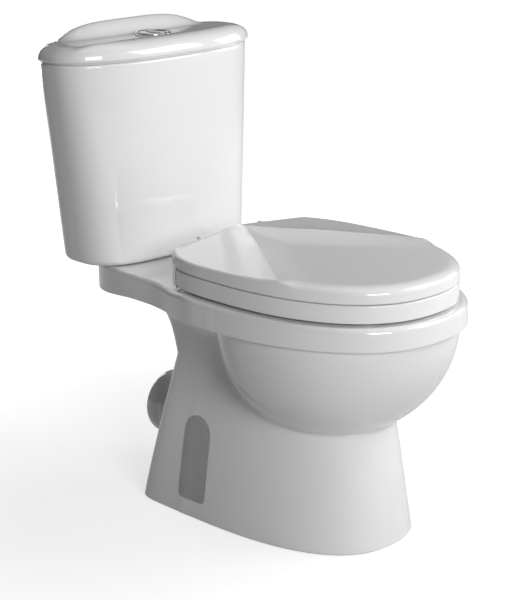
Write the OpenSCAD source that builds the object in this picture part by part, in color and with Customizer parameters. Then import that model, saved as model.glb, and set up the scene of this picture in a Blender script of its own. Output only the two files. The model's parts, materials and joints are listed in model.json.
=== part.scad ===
// Close coupled toilet: china pan, cistern, plastic seat, push button dual flush and float valve.
// Origin: on the floor, under the middle of the whole outline. +Z up, the front of the bowl towards -Y.

/* [Overall] */
// Depth from the front of the rim to the back of the cistern
overall_depth = 700; // [690:1:715]
// Height of the rim that the seat's buffers stand on
rim_height = 386; // [376:1:396]
// Height of the flat deck that carries the cistern
deck_height = 380; // [374:1:384]

/* [Bowl and rim] */
// Widest width across the rim
rim_width = 376; // [366:1:386]
// Distance from the widest line of the rim to its front
rim_nose = 280; // [270:1:290]
// Height of the straight band round the rim
band_height = 35; // [30:1:40]
// How far the bowl's side steps in below the band
band_step = 11; // [8:1:14]
// Height of the lowest point of the bowl's outside above the floor
bowl_bottom = 155; // [145:1:165]
// Thickness of the china walls
china = 12; // [10:1:13]
// Width of the opening inside the rim
mouth_width = 284; // [270:1:290]
// Length of the opening inside the rim
mouth_length = 345; // [335:1:355]
// Width of the rim in front of the opening
rim_land = 45; // [42:1:50]

/* [Deck] */
// Width of the deck under the cistern
deck_width = 300; // [296:1:310]
// Depth of the deck's side skirt at the back
deck_skirt = 50; // [46:1:54]
// Distance from the back of the cistern to the back of the deck
deck_setback = 36; // [32:1:38]
// Thickness of the deck plate over the bolt recess
deck_plate = 14; // [12:1:16]

/* [Pedestal] */
// Width of the foot
foot_width = 292; // [284:1:300]
// Distance from the front of the rim to the front of the foot
toe_setback = 88; // [80:1:96]
// Distance from the back of the foot to the back of the cistern
heel_setback = 178; // [174:1:186]
// Width of the waist
waist_width = 212; // [204:1:220]
// Distance from the back of the waist to the back of the cistern
waist_setback = 232; // [228:1:236]
// Height of the waist above the floor
waist_height = 250; // [240:1:260]

/* [Side pockets and floor fixing] */
// Distance between the two floor fixing holes
fixing_spacing = 246; // [242:1:250]
// Diameter of each floor fixing hole
fixing_hole = 11; // [9:0.5:12]
// Distance from the back of the cistern to the fixing holes
fixing_setback = 309; // [304:1:314]
// Width of each side pocket
pocket_width = 66; // [60:1:72]
// Height of the top of each side pocket
pocket_height = 170; // [160:1:175]
// Thickness of the ledge in the pocket that the fixing goes through
ledge = 28; // [24:1:32]
// Distance between the back walls of the two pockets
pocket_gap = 218; // [214:1:222]

/* [Outlet and trap] */
// Outside diameter of the outlet spigot
outlet_diameter = 110; // [106:1:112]
// Height of the outlet's centre line
outlet_height = 108; // [104:1:112]
// Distance from the back of the cistern to the end of the outlet
outlet_setback = 103; // [98:1:110]
// Bore of the outlet spigot
outlet_bore = 92; // [88:1:94]
// Bore of the glazed trapway
trap_bore = 60; // [54:1:62]
// Thickness of the trapway wall
trap_wall = 8; // [7:1:9]

/* [Cistern] */
// Width of the cistern at its top
cistern_top_width = 399; // [392:1:402]
// Width of the cistern at its bottom
cistern_bottom_width = 338; // [334:1:344]
// Depth of the cistern from front to back
cistern_depth = 159; // [156:1:160]
// Height of the cistern without its lid
cistern_height = 327; // [321:1:337]
// Gap between the deck and the cistern's bottom
cistern_gap = 2; // [1.5:0.5:3]
// Thickness of the cistern's walls and floor
cistern_wall = 10; // [9:0.5:11]

/* [Cistern lid] */
// How far the lid stands out past the cistern's top
lid_overhang = 5; // [3:0.5:6]
// Height of the lid's front roll above its lower edge
lid_roll = 32; // [30:1:36]
// Depth of the valley behind the front roll
lid_valley = 5; // [3:0.5:6]
// Height of the raised back above the valley
lid_hump = 22; // [18:1:24]
// Thickness of the lid's top in the valley
lid_top_wall = 10; // [9:0.5:11]

/* [Flush button] */
// Diameter of the button's bezel
bezel_diameter = 58; // [54:1:60]
// How far the bezel stands up from the lid
bezel_height = 5; // [4:0.5:6]
// Diameter of the two half round buttons together
button_diameter = 44; // [42:1:46]
// Travel of each button
button_travel = 8; // [6:0.5:9]
// Distance from the back of the cistern to the flush valve and button
flush_setback = 86; // [84:1:87]

/* [Seat] */
// Width of the seat
seat_width = 350; // [344:1:356]
// Distance from the widest line of the seat to its front
seat_nose = 267; // [260:1:268]
// Distance from the widest line of the seat to its back
seat_tail = 175; // [172:1:178]
// Height of the buffers under the ring
buffer_height = 6; // [5:0.5:8]
// Thickness of the seat ring
ring_thickness = 22; // [20:0.5:24]
// Gap between the ring and the closed cover
cover_gap = 1.5; // [1:0.25:2.5]
// Height of the cover's side
cover_side = 21; // [19:0.5:23]
// Wall of the moulded cover
cover_wall = 4; // [3.5:0.25:4.5]
// Width of the opening in the ring
hole_width = 226; // [216:1:232]
// Length of the opening in the ring
hole_length = 286; // [276:1:290]
// Distance between the two seat hinges
hinge_spacing = 155; // [150:1:165]
// Width of each hinge post
post_width = 12; // [10:1:14]
// Diameter of the hinge pins
hinge_pin = 7; // [6:0.5:8]
// Diameter of the bolt that holds each hinge post
hinge_bolt = 9; // [8:0.5:10]

/* [Valves] */
// Outside diameter of the flush valve's threaded outlet
flush_outlet = 56; // [52:1:58]
// Bore of the flush valve's outlet
flush_bore = 46; // [42:1:47]
// Outside diameter of the overflow tube
overflow_diameter = 25; // [23:1:27]
// Height of the water line above the cistern's inside floor
water_line = 225; // [215:1:235]
// Outside diameter of the threaded water inlet, a half inch pipe thread
inlet_diameter = 20.95; // [20:0.05:21.5]
// Distance of the water inlet from the middle of the cistern
inlet_offset = 138; // [136:0.5:140]
// Length of the inlet tail under the cistern
inlet_tail = 36; // [32:1:40]
// Diameter of the bolts that join the cistern to the pan
coupling_bolt = 8; // [7:0.5:8.5]
// Distance between the two coupling bolts
coupling_spacing = 150; // [148:1:156]

/* [Hidden] */
$fn = 64;

white = [0.93, 0.93, 0.92];
points_round = 40;                       // points on each china outline

wall_y = overall_depth / 2;              // back of the cistern
front_y = -overall_depth / 2;            // front of the rim
wide_y = front_y + rim_nose;             // widest line of the rim
deck_back_y = wall_y - deck_setback;
flush_y = wall_y - flush_setback;
seat_clear = 12;                         // least height of the ring over the deck
seat_z = max(rim_height + buffer_height, deck_height + seat_clear);  // underside of the ring

// ---------- surfaces made of stacked outlines ----------

// Smooth step from 0 at a to 1 at b
function ease(a, b, v) = let (u = min(1, max(0, (v - a) / (b - a)))) u * u * (3 - 2 * u);

// Signed power, for superellipse outlines
function spow(v, p) = sign(v) * pow(abs(v), p);

// Quarter oval: 1 at u = 0, falling to 0 at u = 1, with exponent p
function oval(u, p) = pow(1 - pow(min(1, abs(u)), p), 1 / p);

// Closed outline at height z: half width a, reaching front and back of y = mid, fuller as its exponents grow
function outline(a, front, back, mid, n_front, n_back, z) = [
    for (i = [0 : points_round - 1])
        let (t = 360 * i / points_round, n = sin(t) < 0 ? n_front : n_back, b = sin(t) < 0 ? front : back)
        [a * spow(cos(t), 2 / n), mid + b * spow(sin(t), 2 / n), z]];

// Middle point of a ring of points
function middle(ring) = [for (k = [0 : 2]) let (v = [for (p = ring) p[k]]) (v * [for (q = v) 1]) / len(v)];

// Solid through rings of points. A chain has both its ends closed; a loop joins its last ring to its first.
module stack(rings, loop = false) {
    n = len(rings[0]);
    m = len(rings);
    points = [for (r = rings) for (p = r) p];
    side = [for (i = [0 : (loop ? m - 1 : m - 2)]) for (j = [0 : n - 1])
        let (a = i * n + j, b = i * n + (j + 1) % n, c = (i + 1) % m * n + j, d = (i + 1) % m * n + (j + 1) % n)
        each [[a, c, d], [a, d, b]]];
    ends = loop ? [] : [for (j = [0 : n - 1]) each [
        [m * n, j, (j + 1) % n],
        [m * n + 1, (m - 1) * n + (j + 1) % n, (m - 1) * n + j]]];
    caps = loop ? [] : [middle(rings[0]), middle(rings[m - 1])];
    polyhedron(points = concat(points, caps), faces = concat(side, ends), convexity = 6);
}

// ---------- pan ----------

// Half width of the rim, narrowing to the deck behind the bowl
function slab_half(y) = deck_width / 2
    + (rim_width - deck_width) / 2 * (1 - ease(wide_y + 40, wide_y + 195, y));

// Top of the slab: the rim, then a step down to the deck behind the seat
function slab_top(y) = rim_height - (rim_height - deck_height) * ease(wide_y + 68, wide_y + 112, y);

// Lower edge of the slab: the band round the rim, then the deeper skirt of the deck
function slab_low(y) = let (band_z = rim_height - band_height, skirt_z = deck_height - deck_skirt)
    band_z - 0.2 * (band_z - skirt_z) * ease(wide_y - 230, wide_y + 10, y)
    - 0.3 * (band_z - skirt_z) * ease(wide_y + 50, wide_y + 180, y)
    - 0.5 * (band_z - skirt_z) * ease(wide_y + 220, wide_y + 355, y);

// Outline of rim and deck together, drawn in by inset; top and low say which height each point takes
function slab(inset, share, rise) = [
    for (i = [0 : points_round - 1])
        let (t = 360 * i / points_round, fore = sin(t) < 0,
             n = fore ? 2.3 : 4.6, b = (fore ? rim_nose : deck_back_y - wide_y) - inset,
             y = wide_y + b * spow(sin(t), 2 / n),
             x = ((fore ? rim_width / 2 : slab_half(y)) - inset) * spow(cos(t), 2 / n))
        [x, y, slab_low(y) + share * (slab_top(y) - slab_low(y)) + rise]];

// The same outline drawn in towards a point inside the bowl, flat on top or underneath
function slab_shrunk(k, share) = let (eye = [0, wide_y + 60, 0])
    [for (p = slab(0, share, 0)) let (q = eye + k * (p - eye), y = q[1])
        [q[0], y, slab_low(y) + share * (slab_top(y) - slab_low(y))]];

module slab_solid()
    stack([
        slab_shrunk(0.45, 0), slab_shrunk(0.9, 0),
        slab(3, 0, 0), slab(0, 0, 3), slab(0, 1, -9), slab(1.5, 1, -4), slab(4, 1, -1.2), slab(9, 1, 0),
        slab_shrunk(0.85, 1), slab_shrunk(0.72, 1), slab_shrunk(0.58, 1), slab_shrunk(0.42, 1)]);

bowl_y = wide_y - 45;                    // widest line of the bowl under the band
bowl_top = rim_height - band_height;

// Outline of the bowl's outside at height z
function bowl_ring(z) = let (u = (bowl_top - z) / (bowl_top - bowl_bottom))
    outline((rim_width / 2 - band_step) * oval(u, 2), (rim_nose - 45 - band_step) * oval(u, 2),
        151 * oval(u, 2.6), bowl_y, 2.15, 2, z);

module bowl_solid()
    stack(concat([for (k = [0.985, 0.94, 0.87, 0.78, 0.67, 0.54, 0.4, 0.24, 0.08])
        bowl_ring(bowl_top - k * (bowl_top - bowl_bottom))], [for (z = [bowl_top + 8]) 
        [for (p = bowl_ring(bowl_top)) [p[0], p[1], z]]]));

mouth_y = front_y + rim_land + mouth_length * 0.56;   // widest line of the opening in the rim
bowl_floor = bowl_bottom + china + 12;

// Outline of the bowl's inside, wider than the mouth by more all round
function hollow_ring(more, k, z) = outline((mouth_width / 2 + more) * k, (mouth_length * 0.56 + more) * k,
    (mouth_length * 0.44 + more) * k, mouth_y, 2.15, 2.2, z);

module bowl_hollow()
    stack([
        hollow_ring(0, 0.3, bowl_floor), hollow_ring(0, 0.42, bowl_floor + 10),
        hollow_ring(0, 0.62, bowl_floor + 38), hollow_ring(6, 0.82, bowl_floor + 75),
        hollow_ring(10, 0.95, bowl_floor + 115), hollow_ring(14, 1, bowl_top - 14),
        hollow_ring(14, 1, bowl_top - 4), hollow_ring(0, 1, bowl_top + 2),
        hollow_ring(0, 1, rim_height - 8), hollow_ring(3, 1, rim_height - 2), hollow_ring(8, 1, rim_height + 2)]);

foot_y = wall_y - 310;                   // widest line of the foot
tower_top = bowl_top - 4;                // where the pedestal has spread to the underside of the slab

// Half width, front and back of the pedestal at height z
function rise_share(z) = pow(min(1, z / waist_height), 1.1);
function flare_share(z, p) = pow(max(0, (z - waist_height) / (tower_top - waist_height)), p);
function tower_half(z) = (foot_width - (foot_width - waist_width) * rise_share(z)) / 2
    + (rim_width / 2 - 18 - waist_width / 2) * flare_share(z, 4);
function tower_front(z) = foot_y - (front_y + toe_setback) - 47 * z / tower_top;
function tower_back(z) = wall_y - heel_setback - foot_y
    - (waist_setback - heel_setback) * rise_share(z) + 42 * flare_share(z, 1.2);

// Outline of the pedestal at height z, drawn in by inset. Near the top its back half is held inside the deck.
function tower_ring(z, inset) = let (squeeze = 0.2 * flare_share(z, 4))
    [for (p = outline(tower_half(z) - inset, tower_front(z) - inset, tower_back(z) - inset, foot_y,
        2.5, 9 - 5 * flare_share(z, 1.5), z)) [p[0] * (1 - squeeze * ease(foot_y - 20, foot_y + 90, p[1])), p[1], z]];

module pedestal_shell()
    stack(concat(
        [for (k = [0.96, 0.85, 0.7, 0.45, 0.2]) tower_ring(k * tower_top, china)],
        [[for (p = tower_ring(0, china + 2)) p], [for (p = tower_ring(0, 1.5)) p], tower_ring(2, 0)],
        [for (k = [0.06, 0.2, 0.35, 0.5, 0.62, 0.72, 0.79, 0.85, 0.9, 0.95, 1]) tower_ring(k * tower_top, 0)]));

fixing_y = wall_y - fixing_setback;

// Thick china behind and round each side pocket
module pocket_block() {
    inner = pocket_gap / 2 - china;
    low = tower_half(ledge) - 3;
    high = tower_half(pocket_height + china) - 4;
    for (s = [-1, 1]) translate([0, fixing_y + pocket_width / 2 + china, 0]) rotate([90, 0, 0])
        linear_extrude(pocket_width + 2 * china)
            polygon([[s * inner, 0.5], [s * low, 0.5], [s * high, pocket_height + china], [s * inner, pocket_height + china]]);
}

// Arched recess in each side of the foot
module pockets()
    for (s = [-1, 1]) translate([s * (pocket_gap / 2 + 30), fixing_y, 0]) rotate([90, 0, 90])
        translate([0, 0, -30]) linear_extrude(60) union() {
            translate([0, pocket_height - pocket_width / 2]) circle(pocket_width / 2);
            translate([-pocket_width / 2, ledge])
                square([pocket_width, pocket_height - pocket_width / 2 - ledge]);
        }

// Route of the trapway from the bottom of the bowl over the weir to the outlet: [y, z] from the bowl's middle
outlet_y = wall_y - outlet_setback;
sump = [mouth_y, bowl_floor];
weir = [190, -4];                        // middle of the bend over the weir
weir_r = 44;
trap_route = concat(
    [[-6, 32], [14, -18], [42, -48], [82, -56], [118, -34]],
    [for (a = [160 : -32 : 0]) weir + weir_r * [cos(a), sin(a)]],
    [[236, -50]]);

// Circle of points across the route at its k-th point
function trap_ring(k, r) = let (
    p = trap_route[k], a = trap_route[max(0, k - 1)], b = trap_route[min(len(trap_route) - 1, k + 1)],
    d = (b - a) / norm(b - a))
    [for (i = [0 : 19]) let (t = 360 * i / 20)
        [-r * cos(t), sump[0] + p[0] - r * sin(t) * d[1], sump[1] + p[1] + r * sin(t) * d[0]]];

module trap_tube(r)
    stack([for (k = [0 : len(trap_route) - 1]) trap_ring(k, r)]);

spigot_root_y = sump[0] + 214;           // where the trapway enters the outlet
spigot_clear_y = outlet_y - 48;          // where the collar round its root ends
module spigot(r, y0, y1)
    translate([0, y0, outlet_height]) rotate([-90, 0, 0]) cylinder(h = y1 - y0, r = r);

// Flush inlet under the cistern
horn_r = flush_outlet / 2 + 18;          // ledge that the foam washer sits in
horn_depth = 20;
recess_y = (deck_back_y + flush_y - 80) / 2 - 7;
module deck_recess()
    difference() {
        translate([0, 0, deck_height - deck_plate - 60]) linear_extrude(60)
            polygon([for (p = outline(deck_width / 2 - 38, 57, 57, recess_y, 3.2, 3.2, 0)) [p[0], p[1]]]);
        translate([0, flush_y, deck_height - 62]) cylinder(h = 62, r = horn_r + china);
    }

tank_z = deck_height + cistern_gap;      // underside of the cistern
seat_back_y = wide_y + seat_tail;        // back of the closed cover
hinge_y = seat_back_y - 21;              // axis of the seat's hinge
hinge_z = seat_z + 19;
pan_ceiling = 0.96 * tower_top;          // underside of the china plate that the hinge bolts clamp
hinge_nut_span = 34;                     // across the wings of a hinge nut
hinge_nut_h = 14;
close = 0.05;                            // running clearance of pins and threads
rest_gap = 0.3;                          // clearance between faces that only rest on each other

module pan()
    color(white)
    difference() {
        union() {
            // one joined surface, so that the round holes drilled afterwards stay true
            resize([0, 0, 0]) difference() {
                union() {
                    slab_solid();
                    bowl_solid();
                    pedestal_shell();
                    pocket_block();
                    trap_tube(trap_bore / 2 + trap_wall);
                    spigot(outlet_diameter / 2 + 3, spigot_root_y - 10, spigot_clear_y);
                }
                spigot(outlet_bore / 2 - 2, spigot_root_y + 4, spigot_clear_y + 1);
                bowl_hollow();
                trap_tube(trap_bore / 2);
                pockets();
                deck_recess();
            }
            spigot(outlet_diameter / 2, spigot_clear_y - 0.5, outlet_y);
        }
        spigot(outlet_bore / 2, spigot_clear_y - 2, outlet_y + 1);
        translate([0, flush_y, deck_height - horn_depth]) cylinder(h = horn_depth + 1, r = horn_r + 0.5);
        translate([0, flush_y, deck_height - 34]) cylinder(h = 34, r = flush_outlet / 2);
        translate([-25, wide_y + 100, deck_height - 34]) cube([50, flush_y - wide_y - 100, 13]);
        for (s = [-1, 1]) {
            translate([s * coupling_spacing / 2, flush_y, deck_height - deck_plate - 1])
                cylinder(h = deck_plate + 2, r = coupling_bolt / 2 + 3);
            translate([s * fixing_spacing / 2, fixing_y, -1]) cylinder(h = ledge + 2, r = fixing_hole / 2);
            translate([s * hinge_spacing / 2, hinge_y, pan_ceiling - 1])
                cylinder(h = max(rim_height, deck_height) - pan_ceiling + 2, r = hinge_bolt / 2 + 2);
            // room for the wing nut to turn
            translate([s * hinge_spacing / 2, hinge_y, pan_ceiling - 2 * hinge_nut_h])
                cylinder(h = 2 * hinge_nut_h - close, r = hinge_nut_span / 2 + 1);
        }
    }

// ---------- small shared shapes ----------

// Flat ring standing on z0
module washer(r_in, r_out, z0, h)
    translate([0, 0, z0]) difference() {
        cylinder(h = h, r = r_out);
        translate([0, 0, -1]) cylinder(h = h + 2, r = r_in);
    }

// Six sided nut standing on z0
module hex_nut(r_in, r_out, z0, h)
    translate([0, 0, z0]) difference() {
        cylinder(h = h, r = r_out, $fn = 6);
        translate([0, 0, -1]) cylinder(h = h + 2, r = r_in);
    }

// Copies at the same distance on both sides of the middle
module pair(spacing, y)
    for (s = [-1, 1]) translate([s * spacing / 2, y, 0]) children();

// ---------- cistern ----------

tank_top = tank_z + cistern_height;
tank_floor = tank_z + cistern_wall;
back_round = 72;                         // from the cistern's widest line to its back
tank_mid_y = wall_y - back_round;

// Outline of the cistern at height z, drawn in by inset
function tank_ring(z, inset) = let (u = (z - tank_z) / cistern_height)
    outline((cistern_bottom_width + (cistern_top_width - cistern_bottom_width) * u) / 2 - inset,
        cistern_depth - back_round - 2.5 * u - inset, back_round - inset, tank_mid_y,
        3 - 0.7 * u, 2.8 + 0.6 * u, z);

inlet_y = tank_mid_y;

module cistern_tank()
    color(white)
    difference() {
        stack(concat(
            [tank_ring(tank_z, 9), tank_ring(tank_z + 2, 3), tank_ring(tank_z + 7, 0)],
            [for (k = [0.35, 0.7]) tank_ring(tank_z + k * cistern_height, 0)],
            [tank_ring(tank_top - 2, 0), tank_ring(tank_top, 2), tank_ring(tank_top, cistern_wall - 1)],
            [for (k = [0.97, 0.5, 0.08]) tank_ring(tank_z + k * cistern_height, cistern_wall)],
            [tank_ring(tank_floor, cistern_wall + 4)]));
        translate([0, flush_y, tank_z - 1]) cylinder(h = cistern_wall + 2, r = flush_outlet / 2 + 1.5);
        translate([inlet_offset, inlet_y, tank_z - 1]) cylinder(h = cistern_wall + 2, r = inlet_diameter / 2 + 1);
        pair(coupling_spacing, flush_y) translate([0, 0, tank_z - 1])
            cylinder(h = cistern_wall + 2, r = coupling_bolt / 2 + 2);
    }

lid_z = tank_top + rest_gap;
valley_z = lid_z + lid_roll - lid_valley;
lid_ceiling = valley_z - lid_top_wall;

// Height of the lid's top over the point x, y: front roll, valley, then the hump along the back
function lid_height(x, y) = lid_roll - lid_valley * ease(wall_y - 124, wall_y - 98, y)
    + lid_hump * ease(wall_y - 56, wall_y - 20, y) * (1 - pow(min(1, abs(x) / (cistern_top_width / 2 - 50)), 4));

// Outline of the lid drawn in by inset, at a share of the height of its top; the back never passes the wall
function lid_ring(inset, share) = [for (p = outline(cistern_top_width / 2 - inset,
    cistern_depth - back_round - 2.5 - inset, back_round - max(0, inset), tank_mid_y, 2.3, 3.4, 0))
    [p[0], p[1], lid_z + share * lid_height(p[0], p[1])]];

// The lid's outline shrunk about its middle, lying on its top
function lid_shrunk(k) = [for (p = outline(k * cistern_top_width / 2, k * (cistern_depth - back_round - 2.5),
    k * back_round, tank_mid_y, 2.3, 3.4, 0)) [p[0], p[1], lid_z + lid_height(p[0], p[1])]];

function lid_flat(inset, z) = [for (p = lid_ring(inset, 0)) [p[0], p[1], z]];

module cistern_lid()
    color(white)
    difference() {
        stack([
            lid_flat(34, lid_ceiling), lid_flat(22, lid_ceiling - 5), lid_flat(13, lid_z + 5), lid_flat(12, lid_z),
            lid_flat(2.5, lid_z), lid_flat(0, lid_z + 2), lid_ring(-lid_overhang, 0.22),
            lid_ring(1 - lid_overhang, 0.42), lid_ring(0.5, 0.66), lid_ring(7, 0.84), lid_ring(15, 0.94),
            lid_ring(25, 0.99), lid_shrunk(0.7), lid_shrunk(0.55), lid_shrunk(0.4), lid_shrunk(0.22)]);
        translate([0, flush_y, lid_z]) cylinder(h = 60, r = bezel_diameter / 2 - 4);
        translate([0, flush_y, valley_z]) cylinder(h = 60, r = bezel_diameter / 2 + rest_gap);
    }

// ---------- joint between cistern and pan ----------

module doughnut_washer()
    color("dimgray")
    translate([0, flush_y, 0])
        washer(flush_outlet / 2 + 6.5, horn_r, deck_height - horn_depth,
            horn_depth + cistern_gap);

rubber_t = 3;                            // thickness of the sealing washers inside the cistern

module coupling_bolts()
    color("silver")
    pair(coupling_spacing, flush_y) {
        translate([0, 0, tank_floor + rubber_t]) cylinder(h = 5, r = coupling_bolt, $fn = 6);
        translate([0, 0, deck_height - deck_plate - 28])
            cylinder(h = tank_floor + rubber_t + 1 - (deck_height - deck_plate - 28), r = coupling_bolt / 2);
    }

module coupling_rubbers()
    color("dimgray")
    pair(coupling_spacing, flush_y)
        washer(coupling_bolt / 2 + close, coupling_bolt * 1.4, tank_floor, rubber_t);

module coupling_spacers()
    color("dimgray")
    pair(coupling_spacing, flush_y)
        washer(coupling_bolt / 2 + close, coupling_bolt * 1.6, deck_height, cistern_gap);

module coupling_plates()
    color("silver")
    pair(coupling_spacing, flush_y)
        washer(coupling_bolt / 2 + close, coupling_bolt * 1.4, deck_height - deck_plate - 2, 2);

// Nut with two wings along Y, hanging below z1
module wing_nut(r_in, hub_r, z1, h, span)
    translate([0, 0, z1 - h]) difference() {
        union() {
            cylinder(h = h, r = hub_r);
            translate([-1.5, -span / 2, 1]) cube([3, span, h - 2]);
        }
        translate([0, 0, -1]) cylinder(h = h + 2, r = r_in);
    }

module coupling_wing_nuts()
    color("silver")
    pair(coupling_spacing, flush_y)
        wing_nut(coupling_bolt / 2 + close, coupling_bolt * 0.9, deck_height - deck_plate - 2, 10, 32);

// Snap-on rings that trim the floor fixing holes
module fixing_caps()
    color("white")
    pair(fixing_spacing, fixing_y) washer(fixing_hole / 2 + 0.5, fixing_hole / 2 + 3.5, ledge, 3);

// ---------- seat ----------

ring_top = seat_z + ring_thickness;
cover_low = ring_top + cover_gap;
cover_top = cover_low + cover_side;
ring_back_y = hinge_y - 12;

// Outline of the seat, drawn in by inset, at height z
function seat_outline(inset, z) = outline(seat_width / 2 - inset, seat_nose - inset, seat_tail - inset,
    wide_y, 2.3, 3.2, z);

// Outside of the ring: the seat's outline, drawn in where the cover comes down round its back corners and cut off
// square in front of the hinges
ring_draw_in = 0.05;
function ring_outside(inset, z) = [for (p = seat_outline(inset, z))
    let (k = 1 - ring_draw_in * ease(seat_back_y - 112, seat_back_y - 92, p[1]))
    [p[0] * k, min(wide_y + (p[1] - wide_y) * k, ring_back_y - inset), z]];

hole_y = front_y + 70 + hole_length * 0.53;
function ring_inside(inset, z) = outline(hole_width / 2 + inset, hole_length * 0.53 + inset,
    hole_length * 0.47 + inset, hole_y, 2.2, 2.3, z);
function ring_between(k, z) = let (a = ring_outside(0, z), b = ring_inside(0, z))
    [for (i = [0 : len(a) - 1]) a[i] + k * (b[i] - a[i])];

// Lug on a hinge axis: a round eye with a web from y0 back to it
module lug(x, width, y0, z0, z1, r)
    translate([x - width / 2, 0, 0]) {
        translate([0, y0, z0]) cube([width, hinge_y - y0, z1 - z0]);
        translate([0, hinge_y, hinge_z]) rotate([0, 90, 0]) cylinder(h = width, r = r);
    }

// Bores for the hinge pins right through both hinges
module pin_bores(r)
    for (s = [-1, 1]) translate([s * hinge_spacing / 2 - 30, hinge_y, hinge_z]) rotate([0, 90, 0])
        cylinder(h = 60, r = r);

lug_r = hinge_pin / 2 + 4.5;
lug_w = 8;
ring_lug_x = hinge_spacing / 2 + post_width / 2 + 0.5 + lug_w / 2;
cover_lug_x = hinge_spacing / 2 - post_width / 2 - 0.5 - lug_w / 2;

module seat_ring()
    color(white)
    difference() {
        union() {
            stack([ring_outside(3, seat_z), ring_outside(0, seat_z + 3), ring_outside(0, ring_top - 5),
                ring_outside(2, ring_top - 1.5), ring_outside(7, ring_top), ring_between(0.35, ring_top + 2),
                ring_between(0.75, ring_top), ring_inside(2, ring_top - 3), ring_inside(0, ring_top - 8),
                ring_inside(2, seat_z + 3), ring_inside(6, seat_z)], true);
            for (s = [-1, 1]) lug(s * ring_lug_x, lug_w, ring_back_y - 8, seat_z + 8, ring_top - 2, lug_r);
        }
        pin_bores(hinge_pin / 2 + close);
    }

// Height of the cover's top above its side: a shallow dish, two flat facets that rise to a peak at the back,
// and a crease between them that runs from the peak forward to each side
peak_y = seat_back_y - 47;
peak = 14;
function cover_rise(x, y) = let (
    r = norm([x / (seat_width / 2), (y - wide_y) / (y < wide_y ? seat_nose : seat_tail)]),
    dish = 3.5 - 3 * (1 - r * r),
    facet = peak - 0.1 * abs(x) - 0.016 * (y - peak_y) - 0.02 * pow(max(0, y - peak_y), 1.75),
    inside = (peak_y - y) * 0.56 - abs(x) * 0.83,
    w = y > peak_y ? 1 : pow(1 - min(1, max(0, inside) / 60), 2))
    dish + (facet - dish) * w;

// Rim of the cover's top drawn in by inset and lowered by drop, and the same outline shrunk by k
function cover_edge(inset, drop) = [for (p = seat_outline(inset, 0))
    [p[0], p[1], cover_top - drop]];
function cover_over(k, lower) = [for (p = seat_outline(0, 0)) let (x = k * p[0], y = wide_y + k * (p[1] - wide_y))
    [x, y, cover_top + cover_rise(x, y) - lower]];

// Lower edge of the cover: level round the ring, then down over the ring's back corners
function cover_foot(inset) = [for (p = seat_outline(inset, 0))
    [p[0], p[1], cover_low - (cover_low - seat_z - 2) * ease(seat_back_y - 86, seat_back_y - 79, p[1])]];

module seat_cover()
    color(white)
    difference() {
        union() {
            stack([
                cover_over(0.25, cover_wall + 1), cover_over(0.6, cover_wall + 1), cover_over(0.86, cover_wall + 1),
                cover_edge(cover_wall + 3, 4 + cover_wall), cover_edge(cover_wall, 10 + cover_wall),
                cover_foot(cover_wall), cover_foot(0.5), cover_edge(0, 7), cover_edge(1, 2.5), cover_edge(4, 0),
                cover_over(0.94, 0.3), cover_over(0.87, 0), cover_over(0.75, 0), cover_over(0.6, 0), cover_over(0.45, 0),
                cover_over(0.3, 0), cover_over(0.15, 0)]);
            for (s = [-1, 1]) lug(s * cover_lug_x, lug_w, hinge_y - lug_r, hinge_z, cover_top - cover_wall + 1, lug_r);
            for (s = [-1, 1]) translate([s * cover_lug_x - lug_w / 2, hinge_y - 0.5, hinge_z])
                cube([lug_w, lug_r - 1, cover_top - cover_wall + 1 - hinge_z]);
        }
        pin_bores(hinge_pin / 2 + close);
        // slots in the back for the hinge posts to pass as the cover turns
        pair(hinge_spacing, hinge_y) translate([-post_width / 2 - 1.5, 5, 0])
            translate([0, 0, seat_z - 10]) cube([post_width + 3, 30, hinge_z + 14 - seat_z + 10]);
    }

plug = 3;                                // depth that each buffer's stem is pressed in

module ring_buffers()
    color("gainsboro")
    for (s = [-1, 1], at = [[155, wide_y + 20], [88, front_y + 62]])
        translate([s * at[0], at[1], rim_height + rest_gap]) {
            cylinder(h = seat_z - rim_height - rest_gap, r = 9);
            cylinder(h = seat_z - rim_height + plug, r = 3);
        }

module cover_buffers()
    color("gainsboro")
    for (s = [-1, 1], at = [[142, wide_y + 20], [84, front_y + 64]])
        translate([s * at[0], at[1], ring_top + 2 + rest_gap])
            cylinder(h = cover_top - ring_top - plug - rest_gap, r = 7);

pad_t = 2;                               // soft pad under each hinge post
pad_rest = 0.15;                         // keeps the pad clear of the step in front of it
post_r = 8;

module hinge_posts()
    color(white)
    difference() {
        pair(hinge_spacing, hinge_y) {
            translate([-post_width / 2, -post_r, deck_height + pad_t])
                cube([post_width, 2 * post_r, hinge_z - deck_height - pad_t]);
            translate([-post_width / 2, 0, hinge_z]) rotate([0, 90, 0]) cylinder(h = post_width, r = post_r);
        }
        pin_bores(hinge_pin / 2 + close);
        pair(hinge_spacing, hinge_y) translate([0, 0, deck_height]) cylinder(h = 18, r = hinge_bolt / 2 + close);
    }

module hinge_pads()
    color("gainsboro")
    pair(hinge_spacing, hinge_y) washer(hinge_bolt / 2 + close, 11, deck_height + pad_rest, pad_t - pad_rest);

module hinge_pins()
    color("silver")
    for (s = [-1, 1]) translate([s * hinge_spacing / 2 - post_width / 2 - lug_w - 1, hinge_y, hinge_z])
        rotate([0, 90, 0]) cylinder(h = post_width + 2 * lug_w + 2, r = hinge_pin / 2);

hinge_bolt_end = pan_ceiling - 24;

module hinge_bolts()
    color("gainsboro")
    pair(hinge_spacing, hinge_y) translate([0, 0, hinge_bolt_end])
        cylinder(h = deck_height + 16 - hinge_bolt_end, r = hinge_bolt / 2);

module hinge_washers()
    color("gainsboro")
    pair(hinge_spacing, hinge_y) washer(hinge_bolt / 2 + close, 13, pan_ceiling - 2, 2);

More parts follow.
